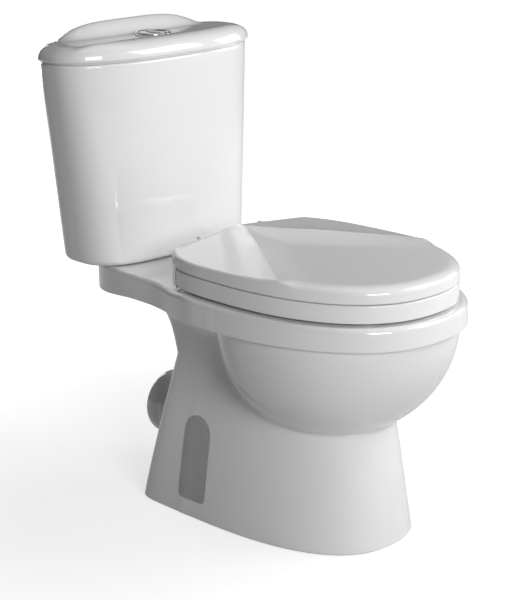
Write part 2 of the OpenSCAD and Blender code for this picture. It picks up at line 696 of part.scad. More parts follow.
module hinge_nuts()
    color("gainsboro")
    pair(hinge_spacing, hinge_y)
        wing_nut(hinge_bolt / 2 + close, 8, pan_ceiling - 2, hinge_nut_h, hinge_nut_span);

// ---------- push button ----------

bezel_z = valley_z;
bezel_top = bezel_z + bezel_height;
housing_r = bezel_diameter / 2 - 4.5;    // sleeve through the lid
button_r = button_diameter / 2;
rod_x = 14;
button_t = 6;
button_low = bezel_top - 1 - button_t;
spring_room = 26;                        // height left under a pressed button for its spring
housing_low = button_low - button_travel - spring_room;

module button_housing()
    color("gainsboro")
    translate([0, flush_y, 0]) difference() {
        union() {
            translate([0, 0, bezel_z]) cylinder(h = bezel_height - 1, r = bezel_diameter / 2);
            translate([0, 0, bezel_top - 1]) cylinder(h = 1, r1 = bezel_diameter / 2, r2 = bezel_diameter / 2 - 1);
            translate([0, 0, housing_low]) cylinder(h = bezel_z + 1 - housing_low, r = housing_r);
        }
        translate([0, 0, housing_low + 3]) cylinder(h = 80, r = button_r + rest_gap);
        for (s = [-1, 1]) translate([s * rod_x, 0, housing_low - 1]) cylinder(h = 6, r = 3.2);
    }

module housing_nut()
    color("gainsboro")
    translate([0, flush_y, 0]) difference() {
        translate([0, 0, lid_ceiling - 8]) cylinder(h = 8, r = housing_r + 9, $fn = 12);
        translate([0, 0, lid_ceiling - 10]) cylinder(h = 12, r = housing_r + close);
    }

// Half round button on one side of the middle
module button(s)
    translate([0, flush_y, button_low]) {
        intersection() {
            cylinder(h = button_t, r = button_r);
            translate([s > 0 ? rest_gap : -40, -40, -1]) cube([40 - rest_gap, 80, button_t + 2]);
        }
    }

module full_button() color("silver") button(-1);
module half_button() color("silver") button(1);

lever_pivot_x = 30;
lever_arm = 20;                          // from pivot to push rod
lift_arm = 16;                           // from pivot to the overflow tube's collar
lever_t = 4;
tower_top_z = tank_floor + water_line - 17;
lever_z = tower_top_z + 12;
rod_out_x = lever_pivot_x + lever_arm;
jog_z = housing_low - 14;

// Cranked rod from a button out to the end of its lever
module push_rod(s)
    translate([0, flush_y, 0]) {
        translate([s * rod_x, 0, jog_z]) cylinder(h = button_low - jog_z, r = 2.5);
        translate([s * rod_x - (s > 0 ? 2.5 : rod_out_x - rod_x + 2.5), -2.5, jog_z])
            cube([rod_out_x - rod_x + 5, 5, 4]);
        translate([s * rod_out_x, 0, lever_z + lever_t / 2 + 1])
            cylinder(h = jog_z + 4 - lever_z - lever_t / 2 - 1, r = 2.5);
    }

module full_push_rod() color("white") push_rod(-1);
module half_push_rod() color("white") push_rod(1);

// Coil spring round a rod, wire swept along a helix
module spring(s) {
    turns = 5;
    wire = 0.7;
    r = 4.4;
    z0 = housing_low + 3 + wire + 0.1;
    z1 = button_low - wire - 0.1;
    steps = turns * 12;
    stack([for (k = [0 : steps]) let (t = 360 * turns * k / steps, c = [cos(t), sin(t)], z = z0 + (z1 - z0) * k / steps)
        [for (j = [0 : 5]) let (q = r - wire * cos(60 * j)) [s * rod_x + q * c[0], flush_y + q * c[1], z + wire * sin(60 * j)]]]);
}

module full_button_spring() color("silver") spring(-1);
module half_button_spring() color("silver") spring(1);

// ---------- flush valve ----------

shank_low = tank_z - 16;
seat_flange_z = tank_floor + rubber_t;

module flush_valve_seat()
    color("white")
    translate([0, flush_y, 0]) rotate_extrude()
        polygon([[flush_bore / 2, shank_low], [flush_outlet / 2, shank_low], [flush_outlet / 2, seat_flange_z],
            [flush_outlet / 2 + 8, seat_flange_z], [flush_outlet / 2 + 8, seat_flange_z + 4],
            [flush_bore / 2 + 3, seat_flange_z + 4], [flush_bore / 2 + 1.5, seat_flange_z + 8],
            [flush_bore / 2, seat_flange_z + 8]]);

module flush_valve_washer()
    color("dimgray")
    translate([0, flush_y, 0]) washer(flush_outlet / 2 + close, flush_outlet / 2 + 7, tank_floor, rubber_t);

module flush_valve_nut()
    color("white")
    translate([0, flush_y, 0]) hex_nut(flush_outlet / 2 + close, flush_outlet / 2 + 5.5, tank_z - 12, 12);

tower_r = flush_outlet / 2 + 6;
tower_low = seat_flange_z + 4;

module flush_valve_tower()
    color("white")
    translate([0, flush_y, 0]) difference() {
        union() {
            translate([0, 0, tower_low]) difference() {
                cylinder(h = tower_top_z - tower_low, r = tower_r);
                translate([0, 0, -1]) cylinder(h = tower_top_z - tower_low - 2, r = tower_r - 2.5);
            }
            for (s = [-1, 1], w = [-1, 1])
                translate([s * lever_pivot_x - 3, w * 7 - 2, tower_top_z - 3]) cube([6, 4, lever_z + 4 - tower_top_z + 3]);
        }
        // water ports, the tube's hole and the lever pins' holes
        for (a = [0, 90]) rotate([0, 0, a]) translate([-50, -10, tower_low + 8]) cube([100, 20, 45]);
        translate([0, 0, tower_top_z - 10]) cylinder(h = 20, r = overflow_diameter / 2 + rest_gap);
        for (s = [-1, 1]) translate([s * lever_pivot_x, 20, lever_z]) rotate([90, 0, 0])
            cylinder(h = 40, r = 2 + close);
    }

seal_z = seat_flange_z + 8 + rest_gap;
collar_z = lever_z + lever_t / 2 + 0.5;

module overflow_tube()
    color("white")
    translate([0, flush_y, 0]) difference() {
        union() {
            translate([0, 0, seal_z]) cylinder(h = tank_floor + water_line + 14 - seal_z, r = overflow_diameter / 2);
            translate([0, 0, seal_z + 3]) cylinder(h = 3, r = flush_bore / 2);
            translate([-overflow_diameter / 2 - 6, -5, collar_z]) cube([10, 10, 3]);
        }
        translate([0, 0, seal_z - 1]) cylinder(h = 400, r = overflow_diameter / 2 - 2);
    }

// Sleeve that the half flush lever slides up the overflow tube
module half_flush_sleeve()
    color("white")
    translate([0, flush_y, 0]) {
        washer(overflow_diameter / 2 + rest_gap, overflow_diameter / 2 + 4, collar_z + 11, 7);
        translate([overflow_diameter / 2 + 2, -3, collar_z]) cube([4, 6, 18]);
    }

module valve_seal()
    color("dimgray")
    translate([0, flush_y, 0]) washer(overflow_diameter / 2 + close, flush_bore / 2 + 2.5, seal_z, 3 - close);

// Rocking lever: its outer end is pushed down by a rod, its inner end lifts the tube's collar
module lever(s)
    translate([0, flush_y, 0]) difference() {
        union() {
            translate([s > 0 ? lever_pivot_x - lift_arm : -lever_pivot_x - lever_arm - 4, -3.5, lever_z - lever_t / 2])
                cube([lift_arm + lever_arm + 4, 7, lever_t]);
            translate([s * lever_pivot_x, 3.5, lever_z]) rotate([90, 0, 0]) cylinder(h = 7, r = 4);
        }
        translate([s * lever_pivot_x, 10, lever_z]) rotate([90, 0, 0]) cylinder(h = 20, r = 2 + close);
    }

module full_lever() color("white") lever(-1);
module half_lever() color("white") lever(1);

module lever_pins()
    color("silver")
    for (s = [-1, 1]) translate([s * lever_pivot_x, flush_y + 9, lever_z]) rotate([90, 0, 0]) cylinder(h = 18, r = 2);

// ---------- fill valve ----------

riser_r = 9;
shank_r = inlet_diameter / 2 + 0.4;      // plain shank above the thread of the inlet tail
inlet_nut_h = 9;
riser_top = tank_floor + water_line + 8;

module fill_valve()
    color("white")
    translate([inlet_offset, inlet_y, 0]) rotate_extrude()
        polygon([[6, tank_z - inlet_tail], [inlet_diameter / 2, tank_z - inlet_tail],
            [inlet_diameter / 2, tank_z - inlet_nut_h], [shank_r, tank_z - inlet_nut_h],
            [shank_r, tank_floor + rubber_t], [15, tank_floor + rubber_t],
            [15, tank_floor + rubber_t + 5], [riser_r, tank_floor + rubber_t + 9], [riser_r, riser_top],
            [6, riser_top]]);

module fill_valve_washer()
    color("dimgray")
    translate([inlet_offset, inlet_y, 0]) washer(shank_r + close, 14.5, tank_floor, rubber_t);

module inlet_nut()
    color("white")
    translate([inlet_offset, inlet_y, 0])
        hex_nut(shank_r + close, shank_r + 4.1, tank_z - inlet_nut_h, inlet_nut_h);

head_r = 17;
arm_pivot_x = inlet_offset - head_r - 6;
arm_z = riser_top + 18;
arm_length = 26;
rod_at_x = arm_pivot_x - arm_length;

module fill_valve_head()
    color("white")
    difference() {
        union() {
            translate([inlet_offset, inlet_y, riser_top]) cylinder(h = 24, r = head_r);
            translate([inlet_offset, inlet_y, riser_top + 24]) cylinder(h = 4, r1 = head_r, r2 = head_r - 4);
            for (w = [-1, 1]) translate([arm_pivot_x - 4, inlet_y + w * 6 - 2, arm_z - 4]) cube([14, 4, 8]);
        }
        translate([inlet_offset, inlet_y, riser_top - 1]) cylinder(h = 12, r = 6);
        translate([arm_pivot_x, inlet_y + 10, arm_z]) rotate([90, 0, 0]) cylinder(h = 20, r = 1.5 + close);
    }

cup_top = riser_top - 20;
cup_h = 48;

module float_cup()
    color("white")
    difference() {
        union() {
            translate([inlet_offset, inlet_y, cup_top - cup_h]) cylinder(h = cup_h, r = 21);
            translate([rod_at_x - 5, inlet_y - 5, cup_top - 6]) cube([inlet_offset - rod_at_x - 10, 10, 6]);
        }
        translate([inlet_offset, inlet_y, cup_top - cup_h - 1]) cylinder(h = cup_h + 2, r = riser_r + 0.5);
        translate([inlet_offset, inlet_y, cup_top - cup_h - 1]) difference() {
            cylinder(h = cup_h - 2, r = 19);
            translate([0, 0, -1]) cylinder(h = cup_h, r = riser_r + 2.5);
        }
        translate([rod_at_x, inlet_y, cup_top - 10]) cylinder(h = 14, r = 1.8 + close);
    }

// Threaded rod from the float's tab up through the arm's fork, with a stop above and below it
module float_rod()
    color("silver")
    translate([rod_at_x, inlet_y, 0]) {
        translate([0, 0, cup_top - 9]) cylinder(h = arm_z + 12 - cup_top + 9, r = 1.8);
        translate([0, 0, arm_z - 1.5 - 2.5 - 3]) cylinder(h = 3, r = 4.5);
        translate([0, 0, arm_z + 1.5 + 2.5]) cylinder(h = 3, r = 4.5);
        translate([0, 0, cup_top]) cylinder(h = 3, r = 4.5);
    }

module float_arm()
    color("white")
    difference() {
        union() {
            translate([rod_at_x - 6, inlet_y - 3.5, arm_z - 1.5]) cube([arm_length + 6, 7, 3]);
            translate([arm_pivot_x, inlet_y + 3.5, arm_z]) rotate([90, 0, 0]) cylinder(h = 7, r = 3.5);
        }
        translate([arm_pivot_x, inlet_y + 10, arm_z]) rotate([90, 0, 0]) cylinder(h = 20, r = 1.5 + close);
        translate([rod_at_x - 10, inlet_y - 2.2, arm_z - 5]) cube([16, 4.4, 10]);
    }

module float_arm_pin()
    color("silver")
    translate([arm_pivot_x, inlet_y + 8.5, arm_z]) rotate([90, 0, 0]) cylinder(h = 17, r = 1.5);

pan();
cistern_tank();
cistern_lid();
doughnut_washer();
coupling_bolts();
coupling_rubbers();
coupling_spacers();
coupling_plates();
coupling_wing_nuts();
fixing_caps();
seat_ring();
seat_cover();
ring_buffers();
cover_buffers();
hinge_posts();
hinge_pads();
hinge_pins();
hinge_bolts();
hinge_washers();
hinge_nuts();
button_housing();
housing_nut();
full_button();
half_button();
full_push_rod();
half_push_rod();
full_button_spring();
half_button_spring();
flush_valve_seat();
flush_valve_washer();
flush_valve_nut();
flush_valve_tower();
overflow_tube();
half_flush_sleeve();
valve_seal();
full_lever();
half_lever();
lever_pins();
fill_valve();
fill_valve_washer();
inlet_nut();
fill_valve_head();
float_cup();
float_rod();
float_arm();
float_arm_pin();
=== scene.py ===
# %% [markdown]
# # A close coupled toilet in white glazed china
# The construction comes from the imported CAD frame: every piece already has its size and its place, in metres, with
# +Z up and the front of the bowl towards -Y. This lesson gives the china, the seat, the button and the valves the
# finish of the real ones. Each step says what the piece is, how it could be made, and why it is made this way.

# %% Load the frame
import json
import math

import bpy
import numpy as np
from mathutils import Matrix, Vector


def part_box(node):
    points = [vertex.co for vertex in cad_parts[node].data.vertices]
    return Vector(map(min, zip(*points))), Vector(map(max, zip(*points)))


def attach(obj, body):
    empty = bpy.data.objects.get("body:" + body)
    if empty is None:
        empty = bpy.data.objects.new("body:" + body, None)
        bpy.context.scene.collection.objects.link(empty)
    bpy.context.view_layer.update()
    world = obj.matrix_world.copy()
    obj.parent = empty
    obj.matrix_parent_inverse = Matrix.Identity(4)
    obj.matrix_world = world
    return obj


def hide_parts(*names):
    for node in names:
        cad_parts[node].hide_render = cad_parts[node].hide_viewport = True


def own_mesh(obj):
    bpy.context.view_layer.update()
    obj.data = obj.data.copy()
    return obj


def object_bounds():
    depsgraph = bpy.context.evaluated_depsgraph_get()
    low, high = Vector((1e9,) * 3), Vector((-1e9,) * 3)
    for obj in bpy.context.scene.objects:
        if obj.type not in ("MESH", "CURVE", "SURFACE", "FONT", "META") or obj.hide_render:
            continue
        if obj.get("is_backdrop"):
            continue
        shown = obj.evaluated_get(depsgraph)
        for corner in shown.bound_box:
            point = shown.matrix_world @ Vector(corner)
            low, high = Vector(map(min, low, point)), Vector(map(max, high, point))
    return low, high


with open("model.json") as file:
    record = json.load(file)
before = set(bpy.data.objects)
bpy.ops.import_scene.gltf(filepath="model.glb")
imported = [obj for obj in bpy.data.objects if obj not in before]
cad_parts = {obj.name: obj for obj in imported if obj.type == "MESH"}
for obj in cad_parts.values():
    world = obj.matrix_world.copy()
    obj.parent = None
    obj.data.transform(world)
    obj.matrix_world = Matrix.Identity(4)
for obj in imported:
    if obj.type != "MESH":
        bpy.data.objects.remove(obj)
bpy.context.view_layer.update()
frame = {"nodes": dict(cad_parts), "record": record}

# %% [markdown]
# ## Sizes that the pieces share
# A surface that is drawn finer than the CAD solid still has to land on it, so its driving sizes are read off the
# boxes of the CAD nodes. The few that no box shows are written here once, in metres.

# %% Sizes from the frame
pan_low, pan_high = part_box("pan")
tank_low, tank_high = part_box("cistern_tank")
lid_low, lid_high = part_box("cistern_lid")
ring_low, ring_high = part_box("seat_ring")
cover_low_corner, cover_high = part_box("seat_cover")
pin_low, pin_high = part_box("hinge_pins")
button_low, button_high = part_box("button_housing")

nose_y = pan_low.y                       # front of the rim
rim_top = pan_high.z
rim_half = pan_high.x
deck_back_y = pan_high.y
deck_top = tank_low.z - 0.002
wall_y = tank_high.y
wide_y = nose_y + 0.280                  # widest line of the rim
flush_y = (button_low.y + button_high.y) / 2
hinge_y = (pin_low.y + pin_high.y) / 2
hinge_z = (pin_low.z + pin_high.z) / 2
seat_z = rim_top + 0.006
fixing_y = wall_y - 0.309
outlet_z = 0.108
bolt_x, hinge_x, screw_x, rod_x = 0.075, 0.0775, 0.123, 0.014    # half the spacing of each pair
left_right = ((-1, "left"), (1, "right"))
front_back = ((-1, "front"), (1, "back"))
print("rim height", round(rim_top, 3), "hinge line", round(hinge_y, 3), round(hinge_z, 3))

# %% [markdown]
# ## Surfaces from rows of points
# China and moulded plastic have no flat sheets to extrude: they are closed skins whose section changes all the way
# round. Sculpting them by hand would drift from the CAD sizes. Instead each skin is a chain of closed outlines, one
# row of points each, worked out as whole arrays and joined by quads. A chain starts at a middle point, runs under the
# piece, up its outside and back to a middle point, so that the skin is closed and all its faces point outwards.

# %% Make a mesh from rows of points
def lofted(name, rows, loop=False):
    """Closed skin through rows of points (rows x columns x 3).

    Each row is a closed outline seen anticlockwise from above, and the rows climb the outside of the piece. A chain
    gets a fan of triangles at both ends; a loop joins its last row to its first."""
    rows = np.asarray(rows, float)
    m, n = rows.shape[:2]
    here = np.arange(m if loop else m - 1)[:, None] * n
    after = (here + n) % (m * n)
    j = np.arange(n)[None, :]
    k = (j + 1) % n
    quads = np.stack([here + j, here + k, after + k, after + j], -1).reshape(-1, 4)
    points = rows.reshape(-1, 3)
    fans = np.empty((0, 3), int)
    if not loop:
        points = np.vstack([points, rows[0].mean(0), rows[-1].mean(0)])
        j, k = j[0], k[0]
        low, high = np.full(n, m * n), np.full(n, m * n + 1)
        last = (m - 1) * n
        fans = np.vstack([np.stack([low, k, j], -1), np.stack([high, last + j, last + k], -1)])
    return mesh_object(name, points, quads, fans)


def mesh_object(name, points, quads, fans):
    """Object at the origin whose mesh holds these points, quads and triangles, shaded smooth."""
    corners = np.concatenate([quads.ravel(), fans.ravel()]).astype(np.int32)
    starts = [np.arange(len(quads)) * 4, len(quads) * 4 + np.arange(len(fans)) * 3]
    starts = np.concatenate(starts).astype(np.int32)
    mesh = bpy.data.meshes.new(name)
    mesh.vertices.add(len(points))
    mesh.vertices.foreach_set("co", np.asarray(points, np.float32).ravel())
    mesh.loops.add(len(corners))
    mesh.loops.foreach_set("vertex_index", corners)
    mesh.polygons.add(len(starts))
    mesh.polygons.foreach_set("loop_start", starts)
    mesh.update(calc_edges=True)
    mesh.shade_smooth()
    piece = bpy.data.objects.new(name, mesh)
    bpy.context.scene.collection.objects.link(piece)
    return piece


print("helpers for meshes:", mesh_object.__name__, "and", lofted.__name__)


# %% Curves and steps that the outlines use
def ease(a, b, v):
    """Smooth step: 0 up to a, 1 from b on, and u*u*(3 - 2u) between them."""
    u = np.clip((np.asarray(v, float) - a) / (b - a), 0, 1)
    return u * u * (3 - 2 * u)


def signed_power(v, p):
    """The power p of v's size, with v's sign: it turns a circle into a superellipse."""
    return np.sign(v) * np.abs(v) ** p


def oval(half, front, back, mid_y, n_front, n_back, t):
    """Superellipse outline: half wide, reaching front and back of mid_y, squarer as its exponents grow."""
    s, c = np.sin(t), np.cos(t)
    n = np.where(s < 0, n_front, n_back)
    return half * signed_power(c, 2 / n), mid_y + np.where(s < 0, front, back) * signed_power(s, 2 / n)


def seen_from(eye_y, x, y, directions):
    """Distance from the point (0, eye_y) to a closed outline in each direction."""
    angle = np.arctan2(y - eye_y, x)
    order = np.argsort(angle)
    return np.interp(directions, angle[order], np.hypot(x, y - eye_y)[order], period=2 * np.pi)


def fan_of(count, focus):
    """Directions all the way round, closer together near each focus (angle, half width, weight)."""
    a = np.linspace(0, 2 * np.pi, 7200, endpoint=False)
    density = np.ones_like(a)
    for angle, width, weight in focus:
        off = (a - angle + np.pi) % (2 * np.pi) - np.pi
        density += weight * np.exp(-(off / width) ** 2)
    share = np.concatenate([[0], np.cumsum(density)])
    return np.interp(np.arange(count) / count, share / share[-1], np.append(a, 2 * np.pi))


def full_turn(count):
    """Angles all the way round, evenly spaced."""
    return np.linspace(0, 2 * np.pi, count, endpoint=False)


def quarter(steps):
    """Angles inside a quarter turn, without its two ends."""
    return np.linspace(0, math.pi / 2, steps + 2)[1:-1]


def rolled(steps, a, b):
    """Pairs of offsets round a rolled edge: a (1 - sin), which shrinks to 0, and b (1 - cos), which grows to b."""
    return [(a * (1 - math.sin(t)), b * (1 - math.cos(t))) for t in quarter(steps)]


fine = full_turn(2880)
print("half way up a step from 0 to 1:", float(ease(0, 1, 0.5)))

# %% [markdown]
# ## Carving
# Holes and pockets cut across a skin, so they can't be part of its rows. A boolean modifier with the manifold solver
# cuts them, and its result is applied, so that the finished piece is a plain mesh again.

# %% Carve and join
def applied(piece):
    """The piece with its modifiers made real."""
    depsgraph = bpy.context.evaluated_depsgraph_get()
    mesh = bpy.data.meshes.new_from_object(piece.evaluated_get(depsgraph))
    piece.modifiers.clear()
    old = piece.data
    piece.data = mesh
    mesh.name = old.name
    bpy.data.meshes.remove(old)
    return piece


def carve(piece, tools, operation="DIFFERENCE", edge=40):
    """Cuts the tools from the piece, or joins them to it, then keeps edges sharper than `edge` degrees crisp.
    Everything is split into triangles first, because a bent quad with a bite out of it has no clear surface."""
    for item in [piece, *tools]:
        item.modifiers.new("triangles", "TRIANGULATE").min_vertices = 4
        applied(item)
    for tool in tools:
        cut = piece.modifiers.new(tool.name, "BOOLEAN")
        cut.operation, cut.object, cut.solver = operation, tool, "MANIFOLD"
    applied(piece)
    for tool in tools:
        bpy.data.meshes.remove(tool.data)
    piece.data.shade_smooth()
    piece.data.set_sharp_from_angle(angle=math.radians(edge))
    return piece


def block(name, low, high):
    """Plain box between two corners, used only as a tool for carving."""
    x, y = np.array([low[0], high[0], high[0], low[0]]), np.array([low[1], low[1], high[1], high[1]])
    return lofted(name, [np.stack([x, y, np.full(4, z)], -1) for z in (low[2], high[2])])


def rod(name, x, y, z0, z1, radius, count=64):
    """Upright round bar from z0 to z1."""
    a = full_turn(count)
    circle = np.stack([x + radius * np.cos(a), y + radius * np.sin(a)], -1)
    return lofted(name, [np.column_stack([circle, np.full(count, z)]) for z in (z0, z1)])


def turned(name, profile, x, y, count=96, loop=True):
    """Solid of revolution about the upright line through x, y. The profile lists (radius, height) anticlockwise
    in the half plane: up the outside and down the inside."""
    a = full_turn(count)
    p = np.asarray(profile, float)
    r, z = p[:, 0][:, None], p[:, 1][:, None]
    rows = np.stack([x + r * np.cos(a), y + r * np.sin(a), z + 0 * a], -1)
    return lofted(name, rows, loop)


def rounded(corners, radius, steps=5):
    """A closed profile with each corner replaced by an arc-like curve that starts `radius` before it."""
    p = np.asarray(corners, float)
    out = []
    for before, at, after in zip(np.roll(p, 1, 0), p, np.roll(p, -1, 0)):
        r0 = min(radius, np.linalg.norm(before - at) * 0.45)
        r1 = min(radius, np.linalg.norm(after - at) * 0.45)
        a = at + (before - at) / np.linalg.norm(before - at) * r0
        b = at + (after - at) / np.linalg.norm(after - at) * r1
        t = np.linspace(0, 1, steps)[:, None]
        out.append((1 - t) ** 2 * a + 2 * t * (1 - t) * at + t ** 2 * b)
    return np.vstack(out)


def ribbed(radius, depth, start, length, ribs, count):
    """Profile of a ribbed wall: radius minus depth times (1 - cos) / 2, once for each rib."""
    t = np.linspace(0, 1, count)
    wall = radius - depth * (0.5 - 0.5 * np.cos(2 * np.pi * ribs * t))
    return np.column_stack([wall, start + length * t]).tolist()


print("points of a square with rounded corners:", len(rounded([(1, 1), (-1, 1), (-1, -1), (1, -1)], 0.1)))


# %% [markdown]
# ## Finishes
# Two things make fired china look like china: a hard clear glaze that flows a little, so that reflections bend
# softly, and a body that is not quite one white. Both are written once as a node group, and each material sets its
# own strengths. The moulded seat is whiter and smoother, and has its own faint flow.

# %% A group for slow variation over a surface
def wired(tree, kinds, values, links):
    """Fills a shader tree from tables. A kind may be followed by its mode, as in "Math operation=ADD", and a link
    is written "a.Out > b.In", where a number stands for a socket's place."""
    nodes = {}
    for name, text in kinds.items():
        kind, *modes = text.split()
        nodes[name] = tree.nodes.new(kind if kind.startswith("Node") else "ShaderNode" + kind)
        for mode in modes:
            setattr(nodes[name], *mode.split("="))

    def socket(side, text):
        """The socket named in "a.Out", among a node's inputs or outputs."""
        name, key = text.strip().split(".")
        return getattr(nodes[name], side)[int(key) if key.isdigit() else key]
    for text, value in values.items():
        socket("inputs", text).default_value = value
    for line in links:
        start, end = line.split(">")
        tree.links.new(socket("outputs", start), socket("inputs", end))
    return nodes


def flow_group():
    """Surface flow: a slow noise moves the colour between two tints and the roughness between two values, and a
    wide shallow bump with a fine one on top bends the reflections."""
    group = bpy.data.node_groups.new("surface flow", "ShaderNodeTree")
    for side, kind, labels in (("INPUT", "Color", ("Tint A", "Tint B")),
                               ("INPUT", "Float", ("Scale", "Fine Scale", "Rough A", "Rough B", "Wave", "Grain")),
                               ("OUTPUT", "Color", ("Color",)), ("OUTPUT", "Float", ("Roughness",)),
                               ("OUTPUT", "Vector", ("Normal",))):
        for label in labels:
            group.interface.new_socket(label, in_out=side, socket_type="NodeSocket" + kind)
    wired(group, {"in": "NodeGroupInput", "out": "NodeGroupOutput", "place": "TexCoord", "slow": "TexNoise",
                  "fast": "TexNoise", "tint": "Mix data_type=RGBA", "rough": "Mix", "wave": "Bump",
                  "grain": "Bump"},
          {"slow.Detail": 3, "fast.Detail": 2, "wave.Distance": 0.004, "grain.Distance": 0.0003},
          ["place.Object > slow.Vector", "place.Object > fast.Vector", "in.Scale > slow.Scale",
           "in.Fine Scale > fast.Scale", "slow.Fac > tint.Factor", "in.Tint A > tint.6", "in.Tint B > tint.7",
           "tint.2 > out.Color", "slow.Fac > rough.Factor", "in.Rough A > rough.A", "in.Rough B > rough.B",
           "rough.Result > out.Roughness", "slow.Fac > wave.Height", "in.Wave > wave.Strength",
           "fast.Fac > grain.Height", "in.Grain > grain.Strength", "wave.Normal > grain.Normal",
           "grain.Normal > out.Normal"])
    return group


flow = flow_group()
print("group made:", flow.name)


# %% One finish from the group
def finish(name, tints, rough, wave, grain, scale=9.0, fine_scale=220.0, metal=0.0, coat=0.0):
    """Material: the flow group feeds colour, roughness and normal; constant values sit on the shader itself."""
    material = bpy.data.materials.new(name)
    material.use_nodes = True
    nodes, link = material.node_tree.nodes, material.node_tree.links.new
    shader = nodes["Principled BSDF"]
    use = nodes.new("ShaderNodeGroup")
    use.node_tree = flow
    for label, value in (("Tint A", (*tints[0], 1)), ("Tint B", (*tints[1], 1)), ("Rough A", rough[0]),
                         ("Rough B", rough[1]), ("Scale", scale), ("Fine Scale", fine_scale), ("Wave", wave),
                         ("Grain", grain)):
        use.inputs[label].default_value = value
    for label, value in (("Metallic", metal), ("IOR", 1.5), ("Coat Weight", coat), ("Coat Roughness", 0.03)):
        shader.inputs[label].default_value = value
    for start, end in (("Color", "Base Color"), ("Roughness", "Roughness"), ("Normal", "Normal")):
        link(use.outputs[start], shader.inputs[end])
    material.diffuse_color = (*tints[0], 1)
    return material


glaze = finish("glazed china", [(0.83, 0.83, 0.83), (0.80, 0.805, 0.81)], (0.05, 0.09), 0.03, 0.01, coat=0.6)
seat_gloss = finish("white seat plastic", [(0.84, 0.84, 0.84), (0.82, 0.825, 0.83)], (0.10, 0.14), 0.015, 0.02,
                    fine_scale=400, coat=0.35)
valve_plastic = finish("valve plastic", [(0.80, 0.80, 0.78), (0.74, 0.74, 0.72)], (0.35, 0.48), 0.02, 0.25,
                       scale=30, fine_scale=900)
black_rubber = finish("black rubber", [(0.022, 0.022, 0.023), (0.04, 0.04, 0.041)], (0.6, 0.8), 0.05, 0.5,
                      scale=60, fine_scale=1500)
soft_white = finish("soft white pad", [(0.74, 0.74, 0.73), (0.70, 0.70, 0.69)], (0.5, 0.6), 0.02, 0.4,
                    scale=60, fine_scale=1200)
zinc = finish("zinc plated steel", [(0.60, 0.60, 0.58), (0.50, 0.51, 0.52)], (0.24, 0.4), 0.02, 0.15,
              scale=120, fine_scale=1400, metal=1.0)
chrome = finish("polished chrome", [(0.86, 0.87, 0.89), (0.83, 0.84, 0.86)], (0.05, 0.09), 0.01, 0.01,
                scale=60, fine_scale=700, metal=1.0)
print("finishes:", len(bpy.data.materials))

# %% Give every CAD node its finish
finish_of = {"glazed_china": glaze, "white_seat_plastic": seat_gloss, "white_plastic": valve_plastic,
             "soft_white_plastic": soft_white, "black_rubber": black_rubber, "zinc_steel": zinc,
             "chrome_button": chrome}
slot_of = {entry["node"]: entry["material_slot"] for entry in frame["record"]["subparts"]}
for name, node in frame["nodes"].items():
    node.data.materials.clear()
    node.data.materials.append(finish_of[slot_of[name]])
body_of = {name: body for body, names in frame["record"]["behaviour"]["bodies"].items() for name in names}


def place(piece, node):
    """The piece takes over the looks of a CAD node: its body, its finish and its place in the table."""
    piece.data.materials.clear()
    piece.data.materials.append(finish_of[slot_of[node]])
    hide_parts(node)
    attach(piece, body_of[node])
    print(f"{piece.name}: {len(piece.data.polygons)} faces")
    return piece


# %% [markdown]
# ## Camera, floor and light
# The camera stands in front and to the left of the toilet, a little above it, and far off, so that upright lines
# stay nearly parallel. The floor is white to the camera and keeps a soft shadow. Large soft lamps stand in front on
# the left, on the right and beside the seat, with weak ones overhead and behind, so each round form darkens towards
# its left side.

# %% Camera
def camera_at(azimuth, elevation, distance, target, roll, lens):
    """Camera on a sphere round the target: azimuth 0 looks along +Y, and roll turns it about its own axis."""
    a, e, r = map(math.radians, (azimuth, elevation, roll))
    back = Vector((math.sin(a) * math.cos(e), -math.cos(a) * math.cos(e), math.sin(e)))
    right = Vector((0, 0, 1)).cross(back).normalized()
    up = back.cross(right)
    right, up = math.cos(r) * right + math.sin(r) * up, -math.sin(r) * right + math.cos(r) * up
    data = bpy.data.cameras.new("camera")
    data.lens, data.sensor_width = lens, 36
    data.clip_start, data.clip_end = 0.05, 100
    camera = bpy.data.objects.new("camera", data)
    turn = Matrix((right, up, back)).transposed().to_4x4()
    camera.matrix_world = Matrix.Translation(Vector(target) + distance * back) @ turn
    bpy.context.scene.collection.objects.link(camera)
    bpy.context.scene.camera = camera
    return camera


camera_at(azimuth=-44.2, elevation=17.1, distance=2.6735, target=(-0.0050, 0.0319, 0.3346), roll=-0.7,
          lens=100.28)
bpy.context.scene.view_settings.view_transform = "Standard"
print("camera stands at:", [round(v, 2) for v in bpy.context.scene.camera.matrix_world.translation])


# %% Floor
def share_of_sight(tree, glossy):
    """Socket that is 1 for rays from the camera or through glass, `glossy` for reflected rays, 0 for others."""
    nodes = wired(tree, {"path": "LightPath", "dimmed": "Math operation=MULTIPLY",
                         "clear": "Math operation=MAXIMUM", "either": "Math operation=MAXIMUM"},
                  {"dimmed.1": glossy},
                  ["path.Is Glossy Ray > dimmed.0", "path.Is Camera Ray > clear.0",
                   "path.Is Transmission Ray > clear.1", "clear.0 > either.0", "dimmed.0 > either.1"])
    return nodes["either"].outputs[0]


